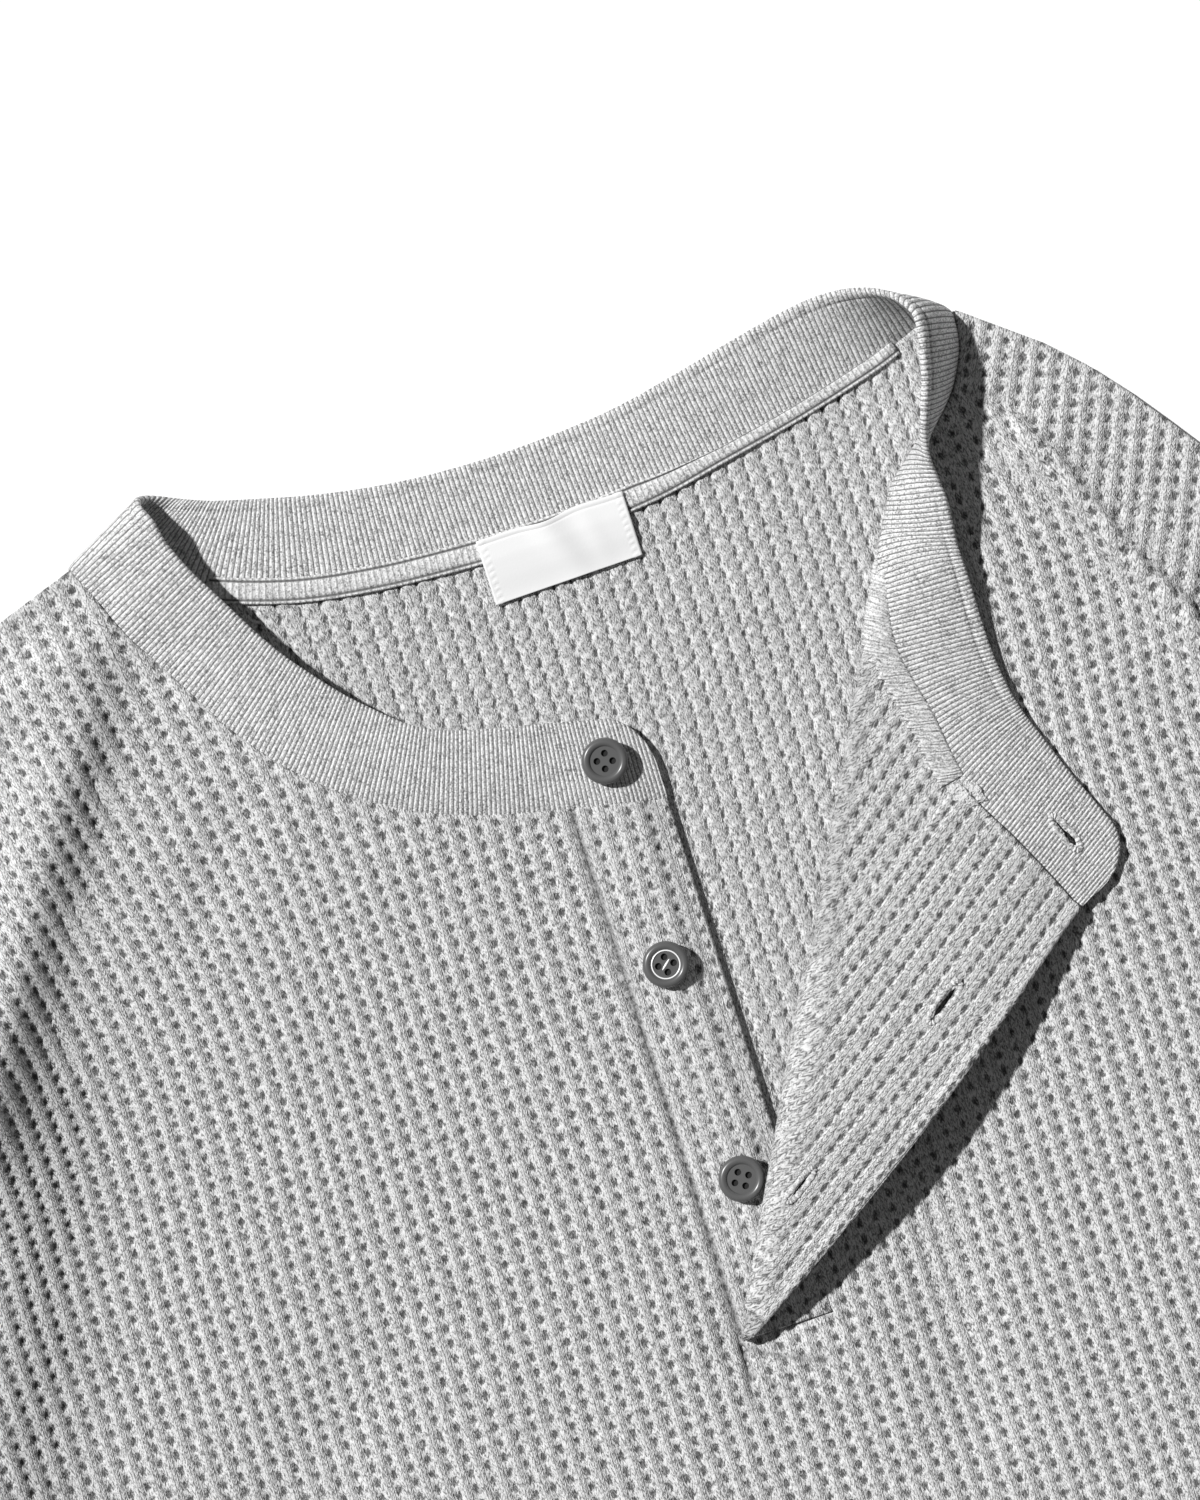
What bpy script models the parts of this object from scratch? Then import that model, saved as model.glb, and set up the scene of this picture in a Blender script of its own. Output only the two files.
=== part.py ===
"""Waffle-knit henley thermal top, laid flat on its back with the neck unbuttoned.

The wearer's left front (+X) is turned open: its placket and collar end lie folded over
the chest, inside out.  The other front carries three buttons.  Every piece of cloth is a
wall of its own, about 0.3 mm from the piece it is sewn to.

Lengths in the tables are millimetres in the garment's own plan: X runs to the wearer's
left from the centre front, Y to the neck from the top button, Z up from the floor.
"""

import math

import bpy
import numpy as np
from mathutils import Vector, geometry

MM = 0.001
WAFFLE = 2.2  # wall of the waffle knit
RIB = 2.0  # wall of the doubled rib collar
STRIP = 2.4  # wall of the doubled placket strips
GAP = 0.3  # between sewn pieces and between layers
COLLAR_WIDTH = 24.0
HEM_Y = -605.0
PLACKET_HALF = 12.3
PLACKET_FOOT_Y = -157.0
BUTTON_DIAMETER = 12.4
BUTTON_THICK = 4.0
BUTTONS = {"button_1": (-0.2, 0.3), "button_2": (-1.3, -55.9), "button_3": (0.4, -116.1)}
# Buttonholes of the turned strip: centre x, centre y, length, width
BUTTONHOLES = [(1.6, -54.5, 10.0, 1.8), (2.8, -115.2, 9.0, 0.7)]
EDGE_BOW = 1.8  # the turned strip's free edge bows out this much
PUFF = 3.0  # how far the front stands off the back, away from the seams
PUFF_REACH = 95.0  # distance from a seam at which it stands off fully

BACK_MID = WAFFLE / 2
FRONT_MID = WAFFLE + GAP + WAFFLE / 2
STRIP_LOW = WAFFLE + GAP + STRIP / 2  # middle of the button strip's wall where it lies on the back
OVER = STRIP / 2 + GAP + STRIP / 2 + 0.05  # the buttonhole strip lies this much over the button strip

# The turned front folds about a straight line that leaves the placket's foot.
FOLD_ANGLE = math.radians(27.6)  # from the garment's length
FOLD_FOOT = np.array([1.1 - PLACKET_HALF, 0.4 + PLACKET_FOOT_Y])  # clear of the strip's corner
FOLD_ALONG = np.array([math.sin(FOLD_ANGLE), math.cos(FOLD_ANGLE)])
FOLD_ACROSS = np.array([math.cos(FOLD_ANGLE), -math.sin(FOLD_ANGLE)])
# distance along the fold, radius of the roll there
ROLL = [(0, 1.8), (12, 3.2), (26, 3.8), (38, 4.4), (51, 4.9), (64, 5.4), (77, 5.3), (90, 5.2), (102, 4.7),
        (115, 3.7), (128, 2.6), (300, 2.6)]
SETTLE = (60.0, 110.0)  # along the fold the front comes down from over the button strip between these
FOLD_ZONE = 6.0  # the slit's edge is cut finely this near the fold
TIP_DROP = 1.9  # the far corner of the turned front droops this much
TIP_NEAR, TIP_FAR = 42.0, 72.0  # distances from the fold between which it droops
FOOT_DIP = 2.5  # the layers sink this much where they are sewn together at the placket's foot
FOOT_RUN = 20.0  # over this length of the placket
FOOT_REACH = 14.0  # the front dips along with them over this width

# Neckline of the wearer's right front, from the placket to the shoulder, with the
# collar's top edge beside it: neck x, neck y, edge x, edge y, edge z, bulge to the wearer
RIGHT_COLLAR = [
    (12.5, -14.3, 12.8, 8.4, 4.6, -0.2),
    (4.3, -12.7, 4.9, 9.8, 5.2, -0.3),
    (-10.8, -9.4, -8.9, 13.0, 6.8, -0.6),
    (-25.8, -6.2, -20.5, 15.6, 8.2, -1.0),
    (-40.5, -2.0, -34.0, 18.8, 9.0, -1.0),
    (-54.6, 4.1, -45.0, 23.4, 9.8, -1.0),
    (-68.0, 12.7, -55.0, 31.6, 9.8, -1.0),
    (-76.4, 19.7, -61.3, 37.8, 9.9, -1.0),
    (-84.4, 28.2, -67.3, 44.9, 10.1, -1.0),
    (-91.9, 38.1, -73.4, 52.7, 10.5, -1.0),
    (-98.8, 50.0, -79.4, 62.4, 11.0, -1.0),
    (-105.7, 61.9, -85.0, 72.7, 11.8, -0.9),
    (-112.0, 72.5, -90.5, 82.7, 12.4, -0.8),
    (-115.5, 81.6, -93.8, 90.8, 12.8, -0.6),
]
# The collar goes round the wearer's right neck point here: seam x, y, z, edge x, y, z, bulge
RIGHT_TURN = [
    (-117.6, 88.5, 4.2, -95.4, 98.0, 13.0, -0.3),
    (-119.0, 91.6, 3.7, -97.3, 102.4, 11.2, 0.0),
    (-119.5, 92.6, 2.6, -96.8, 104.0, 7.4, 0.0),
    (-118.9, 91.8, 1.5, -93.6, 103.8, 3.2, 0.0),
    (-116.6, 89.3, 1.0, -89.6, 102.2, 1.0, 0.0),
]
# Back neckline and the collar's top edge: neck x, neck y, edge x, edge y, edge z, bulge
BACK_COLLAR = [
    (-108.0, 84.6, -84.5, 99.9, 1.0, 0.0),
    (-98.0, 79.6, -79.5, 97.9, 1.0, 0.0),
    (-88.0, 75.4, -74.0, 96.2, 1.2, 0.0),
    (-78.0, 71.7, -68.0, 94.6, 1.4, 0.0),
    (-64.0, 67.6, -58.5, 92.1, 1.6, 0.0),
    (-45.0, 64.5, -43.0, 88.9, 1.8, 0.2),
    (-25.0, 62.9, -25.0, 86.6, 2.0, 0.3),
    (-5.0, 62.3, -6.0, 85.8, 2.0, 0.3),
    (15.0, 62.8, 13.5, 86.4, 2.2, 0.3),
    (35.0, 64.6, 32.5, 88.3, 2.6, 0.3),
    (54.0, 68.4, 50.5, 92.0, 3.6, 0.3),
    (78.0, 73.4, 74.5, 97.2, 6.0, 0.0),
    (92.0, 77.0, 89.0, 99.4, 9.5, -0.5),
    (104.0, 80.6, 99.6, 98.4, 14.5, -1.0),
    (113.0, 84.2, 106.6, 95.6, 19.0, -1.4),
]
LEFT_TURN = [
    (119.4, 87.4, 1.8, 110.8, 92.0, 22.0, -1.4),
    (123.2, 86.3, 2.9, 113.4, 87.6, 23.5, -1.2),
]
# Neckline of the wearer's left front in its unfolded plan, from the shoulder to the
# placket, with the collar's top edge where it lies: neck x, neck y, edge x, y, z, bulge
LEFT_COLLAR = [
    (124.8, 82.0, 113.4, 83.0, 24.0, -1.2),
    (124.0, 77.0, 112.2, 77.0, 24.2, -1.2),
    (121.5, 71.0, 110.3, 69.4, 24.2, -1.0),
    (117.5, 64.5, 107.6, 61.8, 24.0, -0.8),
    (112.5, 59.5, 105.6, 56.0, 23.8, -0.4),
    (107.0, 55.0, 104.8, 51.2, 23.6, 0.4),
    (101.0, 49.8, 105.3, 45.4, 21.0, 1.2),
    (95.5, 44.5, 106.0, 38.2, 18.2, 1.8),
    (92.5, 38.0, 105.4, 30.0, 15.2, 2.0),
    (83.0, 25.6, 105.4, 18.2, 12.8, 1.8),
    (70.2, 12.0, 105.4, -1.6, 10.8, 1.2),
    (49.7, 2.5, 107.4, -17.5, 10.0, 0.8),
    (31.9, -5.8, 110.8, -28.1, 9.4, 0.6),
    (15.0, -8.0, 115.8, -41.5, 9.2, 0.4),
    (-0.2, -10.4, 121.4, -54.9, 9.2, 0.2),
    (-12.3, -12.6, 125.8, -66.8, 9.3, 0.0),
]
COLLAR_STEP = 6.0  # between the collar's sections, along the neck
COLLAR_LINES = [0.0, 0.25, 0.47, 0.53, 0.78, 1.0]  # across the collar, seam to top edge
END_LONG, END_DEEP = 11.0, 15.0  # the round corner at each end, along the collar and across it
COLLAR_HOLE_LONG = 9.0
COLLAR_HOLE_IN = 17.0  # its middle, from the turned end

# Body outline, seam to seam: the slopes follow how the shoulders lie
RIGHT_SHOULDER = [(-119.9, 92.0), (-128.0, 89.2), (-142.7, 84.1), (-180.0, 69.0), (-216.0, 54.5),
                  (-250.0, 39.0)]
RIGHT_ARMHOLE = [(-250.0, 39.0), (-249.0, -30.0), (-258.0, -105.0), (-281.0, -165.0)]
LEFT_SHOULDER = [(125.4, 85.6), (135.5, 77.6), (146.5, 68.8), (157.0, 57.8), (166.9, 44.9),
                 (176.5, 31.4), (190.0, 12.5), (206.0, -8.0), (222.0, -28.0)]
LEFT_ARMHOLE = [(222.0, -28.0), (219.0, -100.0), (232.0, -175.0), (264.0, -240.0)]
HEM_RIGHT = (-273.0, HEM_Y)
HEM_LEFT = (277.0, HEM_Y)
ARMHOLE_STEPS = 12

# Creases of the front: start x, y, end x, y, half width, height, steepness of the far side
FRONT_CREASES = [
    (-123.0, 66.0, -200.0, -60.0, 18.0, 8.0, 1.5),
    (-172.0, -8.0, -228.0, -162.0, 27.0, 10.4, 1.1),
    (-114.0, 78.0, -206.0, 42.0, 14.0, 6.0, 1.2),
    (-96.0, 22.0, -116.0, -12.0, 9.0, -1.2, 1.0),
    (-100.0, -120.0, -150.0, -178.0, 20.0, -1.6, 1.0),
    (49.0, -132.0, 39.0, -205.0, 13.0, -1.6, 1.0),
    (131.0, 56.0, 166.0, -30.0, 11.0, 4.4, 2.2),
    (160.0, -16.0, 240.0, -190.0, 18.0, 5.0, 1.8),
    (122.0, 50.0, 149.0, 68.0, 7.0, -2.2, 1.0),
    (150.0, 40.0, 196.0, -22.0, 14.0, 2.2, 1.2),
    (120.0, -150.0, 226.0, -300.0, 26.0, 3.2, 1.3),
    (-120.0, -230.0, -232.0, -330.0, 26.0, 3.0, 1.2),
    (-60.0, -300.0, -150.0, -470.0, 30.0, -1.8, 1.0),
    (70.0, -320.0, 40.0, -520.0, 32.0, 2.4, 1.2),
    (180.0, -360.0, 205.0, -560.0, 26.0, 2.2, 1.2),
    (-215.0, -400.0, -190.0, -570.0, 24.0, 2.2, 1.2),
    (-20.0, -470.0, -30.0, -590.0, 24.0, 1.8, 1.0),
]

# Sleeves: cuff corner at the top edge, cuff corner at the underarm edge, bow of the top edge
SLEEVES = {
    "sleeve_right": {"armhole": RIGHT_ARMHOLE, "cuff": [(-676.0, -361.0), (-618.0, -432.0)], "bow": 12.0},
    "sleeve_left": {"armhole": LEFT_ARMHOLE, "cuff": [(588.0, -470.0), (516.0, -527.0)], "bow": 12.0},
}
SLEEVE_SECTIONS = 22
SLEEVE_ACROSS = 12
SLEEVE_EDGE = 2.5  # radius of the folded edges
SLEEVE_PUFF = 2.4
# place along the sleeve, place across at the top edge and at the underarm, half length, height
SLEEVE_CREASES = [
    (0.10, 0.15, 1.0, 0.055, 2.2),
    (0.22, 0.45, 1.0, 0.045, 2.8),
    (0.36, 0.0, 0.55, 0.040, 2.0),
    (0.47, 0.35, 1.0, 0.045, 3.0),
    (0.56, 0.0, 0.70, 0.040, 2.2),
    (0.68, 0.40, 1.0, 0.040, 2.0),
    (0.82, 0.0, 0.60, 0.035, 1.5),
]

TAPE_WIDTH = 7.0
TAPE_THICK = 0.8
TAPE_SPAN = (-87.0, 107.0)
LABEL = {"left": -15.0, "right": 26.2, "low": 49.6, "high": 66.4, "thick": 0.8}

MATERIALS = {  # colour, roughness, metallic
    "waffle": ((0.43, 0.43, 0.43, 1.0), 0.95, 0.0),
    "rib": ((0.46, 0.46, 0.46, 1.0), 0.9, 0.0),
    "tape": ((0.45, 0.45, 0.45, 1.0), 0.9, 0.0),
    "label": ((0.86, 0.86, 0.86, 1.0), 0.5, 0.0),
    "button": ((0.10, 0.10, 0.10, 1.0), 0.45, 0.0),
}


# ---- small maths -------------------------------------------------------------------


def ease(value):
    t = np.clip(value, 0.0, 1.0)
    return t * t * (3.0 - 2.0 * t)


def unit(vector):
    return vector / max(np.linalg.norm(vector), 1e-9)


def along(points):
    """Distance along a line of points, starting at 0."""
    steps = np.linalg.norm(np.diff(np.asarray(points, float), axis=0), axis=1)
    return np.concatenate([[0.0], np.cumsum(steps)])


def smooth_rows(rows, distances, wanted):
    """Catmull-Rom values of a table's rows at the wanted distances."""
    rows = np.asarray(rows, float)
    slopes = np.gradient(rows, distances, axis=0)
    found = []
    for d in wanted:
        k = int(np.clip(np.searchsorted(distances, d) - 1, 0, len(rows) - 2))
        span = distances[k + 1] - distances[k]
        t = (d - distances[k]) / span
        found.append(
            (2 * t**3 - 3 * t**2 + 1) * rows[k]
            + (t**3 - 2 * t**2 + t) * span * slopes[k]
            + (3 * t**2 - 2 * t**3) * rows[k + 1]
            + (t**3 - t**2) * span * slopes[k + 1]
        )
    return np.array(found)


def spaced(rows, columns, step):
    """A table resampled at even steps of the distance along the named columns."""
    rows = np.asarray(rows, float)
    distances = along(rows[:, columns])
    count = max(2, int(round(distances[-1] / step)) + 1)
    return smooth_rows(rows, distances, np.linspace(0.0, distances[-1], count))


def curve(points, count):
    """A smooth line through a few points, at even distances."""
    rows = np.asarray(points, float)
    distances = along(rows)
    return smooth_rows(rows, distances, np.linspace(0.0, distances[-1], count))


# ---- how the cloth lies ------------------------------------------------------------


def outer_seams():
    """The body's outline apart from the neck, as short segments."""
    line = np.array(
        [*curve(LEFT_SHOULDER, 12)]
        + [*curve(LEFT_ARMHOLE, ARMHOLE_STEPS + 1)][1:]
        + [np.array(HEM_LEFT), np.array(HEM_RIGHT)]
        + [*curve(RIGHT_ARMHOLE, ARMHOLE_STEPS + 1)][::-1]
        + [*curve(RIGHT_SHOULDER, 9)][::-1][1:]
    )
    return line[:-1], line[1:]


SEAM_STARTS, SEAM_ENDS = outer_seams()


def seam_distance(x, y):
    point = np.array([x, y])
    run = SEAM_ENDS - SEAM_STARTS
    share = ((point - SEAM_STARTS) * run).sum(1) / np.maximum((run * run).sum(1), 1e-9)
    nearest = SEAM_STARTS + np.clip(share, 0.0, 1.0)[:, None] * run
    return float(np.linalg.norm(point - nearest, axis=1).min())


def crease_height(x, y):
    """Soft ridges and troughs of the front, each steeper on its far side."""
    total = 0.0
    for x0, y0, x1, y1, half, height, steep in FRONT_CREASES:
        run = np.array([x1 - x0, y1 - y0])
        length = np.linalg.norm(run)
        offset = np.array([x - x0, y - y0])
        share = float(offset @ run) / length**2
        side = float(offset[0] * run[1] - offset[1] * run[0]) / length
        side *= steep if (side > 0) == (x0 < x1) else 1.0
        ends = ease(share * 3.0 + 0.4) * ease((1.0 - share) * 3.0 + 0.4)
        total += height * math.exp(-((side / half) ** 2) * 1.6) * ends
    return total


def front_height(x, y):
    """Middle of the front's wall, before the fold."""
    off = ease(seam_distance(x, y) / PUFF_REACH)
    near_seam = ease(seam_distance(x, y) / 30.0)
    return FRONT_MID + max(0.0, PUFF * off + crease_height(x, y) * near_seam) - foot_dimple(x, y)


def foot_dip(y):
    """How far the button strip sinks, so that both strips end flush with the front."""
    return FOOT_DIP * ease((PLACKET_FOOT_Y + FOOT_RUN - y) / FOOT_RUN)


def foot_dimple(x, y):
    """The front goes down with the strip along its sewn edge and round the foot's corner."""
    if x < -PLACKET_HALF:
        beside = ease(1.0 + (x + PLACKET_HALF) / FOOT_REACH)
    else:
        beside = ease((PLACKET_HALF - x) / (2 * PLACKET_HALF))
    below = ease(1.0 - (PLACKET_FOOT_Y - y) / FOOT_REACH)
    return foot_dip(y) * beside * min(below, 1.0)


def over_at(x, y):
    """The buttonhole strip's height over the front's own."""
    settled = ease((fold_place(x, y)[0] - SETTLE[0]) / (SETTLE[1] - SETTLE[0]))
    return OVER * (1.0 - settled) - foot_dip(y) + foot_dimple(x, y)


def roll_radius(s):
    distances, radii = zip(*ROLL)
    return float(np.interp(s, distances, radii))


def fold_place(x, y):
    offset = np.array([x, y]) - FOLD_FOOT
    return float(offset @ FOLD_ALONG), float(offset @ FOLD_ACROSS)


def lies_left(x, y):
    """The wearer's left front, as it lies: right of the fold it is flat, left of it
    the cloth rolls over and comes back to the right on top of itself."""
    s, w = fold_place(x, y)
    radius = roll_radius(s)
    near = ease(1.0 - (abs(w) - radius) / 26.0) if s > 0 else 0.0
    base = front_height(x, y) + over_at(x, y) * near
    if w >= radius or s <= 0:
        return np.array([x, y, base])
    line = FOLD_FOOT + s * FOLD_ALONG
    foot = line + radius * FOLD_ACROSS
    fold_height = front_height(foot[0], foot[1]) + over_at(foot[0], foot[1])
    if w > -radius:
        turn = math.pi / 2 * (1.0 - w / radius)
        out = radius * (1.0 - math.sin(turn))
        place = line + out * FOLD_ACROSS
        return np.array([place[0], place[1], fold_height + radius * (1.0 - math.cos(turn))])
    place = line - w * FOLD_ACROSS
    drop = TIP_DROP * ease((-w - TIP_NEAR) / (TIP_FAR - TIP_NEAR))
    return np.array([place[0], place[1], fold_height + 2.0 * radius - drop])


def lies_front(x, y):
    """The whole front: only the part beside the open placket is folded."""
    if x > 0 and y > PLACKET_FOOT_Y:
        return lies_left(x, y)
    return np.array([x, y, front_height(x, y)])


def lies_buttonhole_strip(x, y):
    """The strip over the placket: raised over the button strip, then round the fold."""
    place = lies_left(x, y)
    s, w = fold_place(x, y)
    if w >= roll_radius(s) or s <= 0:
        place[2] = front_height(x, y) + over_at(x, y)
    return place


def lies_button_strip(x, y):
    """Level with the front along its sewn edge, down on the back along its free edge."""
    sunk = foot_dip(y) - foot_dimple(x, y)
    level = front_height(x, y) + (STRIP - WAFFLE) / 2 - sunk
    return np.array([x, y, level + (STRIP_LOW - level) * ease((x - 1.0) / (PLACKET_HALF - 1.0))])


def lies_back(x, y):
    return np.array([x, y, BACK_MID])


# ---- walls -------------------------------------------------------------------------


def inside(point, loop):
    x, y = point
    hit = False
    for (x0, y0), (x1, y1) in zip(loop, loop[1:] + loop[:1]):
        if (y0 > y) != (y1 > y) and x < x0 + (y - y0) * (x1 - x0) / (y1 - y0):
            hit = not hit
    return hit


def edge_distance(point, loop):
    starts = np.array(loop)
    run = np.roll(starts, -1, axis=0) - starts
    share = ((point - starts) * run).sum(1) / np.maximum((run * run).sum(1), 1e-9)
    nearest = starts + np.clip(share, 0.0, 1.0)[:, None] * run
    return float(np.linalg.norm(point - nearest, axis=1).min())


def triangles_of(outline, holes, inner, clear):
    """Delaunay triangles of a plan with holes, through the inner points that are clear."""
    outline = [tuple(map(float, p)) for p in outline]
    loops = [outline] + [[tuple(map(float, p)) for p in hole] for hole in holes]
    points, edges = [], []
    for loop in loops:
        start = len(points)
        points += loop
        edges += [(start + k, start + (k + 1) % len(loop)) for k in range(len(loop))]
    for p in inner:
        if inside(p, outline) and not any(inside(p, hole) for hole in loops[1:]):
            if min(edge_distance(np.array(p), loop) for loop in loops) > clear:
                points.append((float(p[0]), float(p[1])))
    verts, _, faces, *_ = geometry.delaunay_2d_cdt([Vector(p) for p in points], edges, [], 0, 1e-4)
    kept = []
    for face in faces:
        centre = sum((verts[i] for i in face), Vector((0.0, 0.0))) / 3
        if inside(centre, outline) and not any(inside(centre, hole) for hole in loops[1:]):
            kept.append(list(face))
    return [np.array(v) for v in verts], kept


def normal_of(lies, x, y, h=0.25):
    du = lies(x + h, y) - lies(x - h, y)
    dv = lies(x, y + h) - lies(x, y - h)
    return unit(np.cross(du, dv))


def wall(name, material, plan, lies, thick):
    """A closed wall: the plan laid by `lies`, moved out half its thickness each way."""
    verts, faces = plan
    used = sorted({i for face in faces for i in face})
    index = {old: new for new, old in enumerate(used)}
    count = len(used)
    tops, bottoms = [], []
    for i in used:
        x, y = verts[i]
        middle, out = lies(x, y), normal_of(lies, x, y)
        tops.append(middle + out * thick / 2)
        bottoms.append(middle - out * thick / 2)
    polygons, sides = [], {}
    for face in faces:
        a, b, c = (index[i] for i in face)
        polygons += [(a, b, c), (c + count, b + count, a + count)]
        for edge in ((a, b), (b, c), (c, a)):
            sides[edge] = sides.get(edge, 0) + 1
    for a, b in list(sides):
        if (b, a) not in sides:
            polygons.append((b, a, a + count, b + count))
    return solid(name, material, tops + bottoms, polygons)


def solid(name, material, points, polygons):
    mesh = bpy.data.meshes.new(name)
    mesh.from_pydata([tuple(float(v) for v in p) for p in points], [], polygons)
    mesh.validate()
    obj = bpy.data.objects.new(name, mesh)
    bpy.context.collection.objects.link(obj)
    obj.data.materials.append(bpy.data.materials[material])
    return obj


def grid(x0, x1, y0, y1, step):
    across = np.arange(x0, x1 + step, step)
    up = np.arange(y0, y1 + step, step)
    return [(x, y) for x in across for y in up]


def fold_points(first, last, step, across=8):
    """Rows of points across the roll, so that it bends in even steps."""
    found = []
    for s in np.arange(first, last, step):
        radius = roll_radius(s)
        for k in range(across + 1):
            p = FOLD_FOOT + s * FOLD_ALONG + radius * (1.0 - 2.0 * k / across) * FOLD_ACROSS
            found.append(tuple(p))
    return found


def clear_of_fold(points, margin):
    kept = []
    for x, y in points:
        s, w = fold_place(x, y)
        if s < 0 or s > 240 or abs(w) > roll_radius(s) + margin:
            kept.append((x, y))
    return kept


def plan_normal(line, k):
    """Unit normal to a line of plan points, on its left going forward."""
    before, after = line[max(k - 1, 0)], line[min(k + 1, len(line) - 1)]
    run = unit(np.asarray(after[:2], float) - np.asarray(before[:2], float))
    return np.array([-run[1], run[0]])


def main_necklines():
    """The three resampled necklines, each table's columns as they stand."""
    right = spaced(RIGHT_COLLAR, [0, 1], COLLAR_STEP)
    back = spaced(BACK_COLLAR, [0, 1], COLLAR_STEP * 1.6)
    left = spaced(LEFT_COLLAR, [0, 1], COLLAR_STEP)
    return right, back, left


def slit_heights(top):
    """Heights along the placket's left seam: close together where the roll crosses it."""
    even = list(np.linspace(PLACKET_FOOT_Y, top, 17))
    steps = np.arange(PLACKET_FOOT_Y, top, 0.5)
    crossing = [y for y in steps if abs(fold_place(PLACKET_HALF, y)[1]) < FOLD_ZONE]
    low, high = crossing[0], crossing[-1]
    below = [y for y in even if y < low - 3.0]
    above = [y for y in even if y > high + 3.0]
    return below + list(np.linspace(low, high, 13)) + above


def front_panel():
    right, _, left = main_necklines()
    slit = PLACKET_HALF + GAP
    right_neck = [tuple(r[:2]) for r in right if r[0] < -slit - 1.5]
    left_neck = [tuple(r[:2]) for r in left if r[0] > slit + 1.5]
    slit_top_right = np.interp(slit, *zip(*sorted((-r[0], r[1]) for r in right)))
    slit_top_left = np.interp(slit, *zip(*sorted((r[0], r[1]) for r in left)))
    foot = PLACKET_FOOT_Y - GAP
    outline = (
        [(-slit, slit_top_right)]
        + right_neck
        + [(-118.3, 88.6)]
        + [tuple(p) for p in curve(RIGHT_SHOULDER, 9)]
        + [tuple(p) for p in curve(RIGHT_ARMHOLE, ARMHOLE_STEPS + 1)[1:]]
        + [tuple(p) for p in curve([RIGHT_ARMHOLE[-1], HEM_RIGHT], 14)[1:]]
        + [tuple(p) for p in curve([HEM_RIGHT, HEM_LEFT], 16)[1:-1]]
        + [tuple(p) for p in curve([HEM_LEFT, LEFT_ARMHOLE[-1]], 14)]
        + [tuple(p) for p in curve(LEFT_ARMHOLE, ARMHOLE_STEPS + 1)[::-1][1:]]
        + [tuple(p) for p in curve(LEFT_SHOULDER, 12)[::-1][1:]]
        + left_neck
        + [(slit, slit_top_left)]
        + [(slit, y) for y in slit_heights(slit_top_left)[::-1][1:-1]]
        + [(slit, foot), (0.0, foot), (-slit, foot)]
        + [(-slit, y) for y in np.linspace(foot, slit_top_right, 13)[1:-1]]
    )
    inner = clear_of_fold(grid(-280.0, 280.0, -250.0, 90.0, 15.0), 4.0)
    inner += grid(-270.0, 270.0, -590.0, -268.0, 26.0)
    inner += fold_points(45.0, 236.0, 9.0)
    plan = triangles_of(outline[::-1], [], inner, 3.2)
    return wall("front", "waffle", plan, lies_front, WAFFLE)


def back_panel():
    _, back, _ = main_necklines()
    neck = [tuple(r[:2]) for r in back]
    outline = (
        [(-117.0, 88.6)]
        + neck
        + [(118.6, 86.2)]
        + [tuple(p) for p in curve(LEFT_SHOULDER, 12)]
        + [tuple(p) for p in curve(LEFT_ARMHOLE, ARMHOLE_STEPS + 1)[1:]]
        + [HEM_LEFT, HEM_RIGHT]
        + [tuple(p) for p in curve(RIGHT_ARMHOLE, ARMHOLE_STEPS + 1)[::-1]]
        + [tuple(p) for p in curve(RIGHT_SHOULDER, 9)[::-1][1:]]
    )
    plan = triangles_of(outline[::-1], [], grid(-250.0, 250.0, -560.0, 40.0, 60.0), 14.0)
    return wall("back", "waffle", plan, lies_back, WAFFLE)


def slit_hole(x, y, long, wide):
    """A buttonhole's outline: a narrow lens, as the sewn slit stands a little open."""
    half, out = long / 2, wide / 2
    ends = [(0, -half), (out, -half * 0.5), (out, half * 0.5)]
    ends += [(-a, -b) for a, b in ends]
    return [(x + a, y + b) for a, b in ends]


def bow_share(y):
    """Nought at both ends of the turned strip's free edge, one where it stands out most."""
    return math.sin(math.pi * min(max((y + 148.0) / 128.0, 0.0), 1.0))


def strip_plan(top, holes, inner, bow):
    outline = (
        [(-PLACKET_HALF - bow * bow_share(y), y) for y in np.linspace(PLACKET_FOOT_Y, top[0][1], 17)]
        + top[1:-1]
        + [(PLACKET_HALF, y) for y in slit_heights(top[-1][1])[::-1]]
        + [(0.0, PLACKET_FOOT_Y)]
    )
    return triangles_of(outline[::-1], holes, inner, 1.2)


def strip_top(rows):
    """The strip's top edge follows the neckline, from -X to +X."""
    xs, ys = zip(*sorted((r[0], r[1]) for r in rows))
    return [(x, float(np.interp(x, xs, ys))) for x in np.linspace(-PLACKET_HALF, PLACKET_HALF, 5)]


def placket_strips():
    right, _, left = main_necklines()
    inner = [(x, y) for x in (-4.1, 4.1) for y in np.arange(PLACKET_FOOT_Y + 9, -14.0, 9.0)]
    plan = strip_plan(strip_top(right), [], inner, 0.0)
    under = wall("placket_button", "waffle", plan, lies_button_strip, STRIP)
    holes = [slit_hole(*hole) for hole in BUTTONHOLES]
    inner = fold_points(6.0, 64.0, 6.5) + clear_of_fold(inner, 3.0)
    plan = strip_plan(strip_top(left), holes, inner, EDGE_BOW)
    over = wall("placket_buttonhole", "waffle", plan, lies_buttonhole_strip, STRIP)
    return under, over


# ---- the collar --------------------------------------------------------------------


def seam_start(lies, row, line, k, outward):
    """Where the collar's wall begins, just clear of the panel's edge."""
    x, y = row[:2]
    out = plan_normal(line, k) * outward
    edge_point = lies(x, y)
    leave = unit(lies(x + out[0] * 0.5, y + out[1] * 0.5) - edge_point)
    to_edge = unit(np.array(row[2:5]) - edge_point)
    lean = math.sqrt(max(0.0, 1.0 - float(leave @ to_edge) ** 2))
    return edge_point + leave * (GAP + 0.1 + RIB / 2 * lean)


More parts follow.
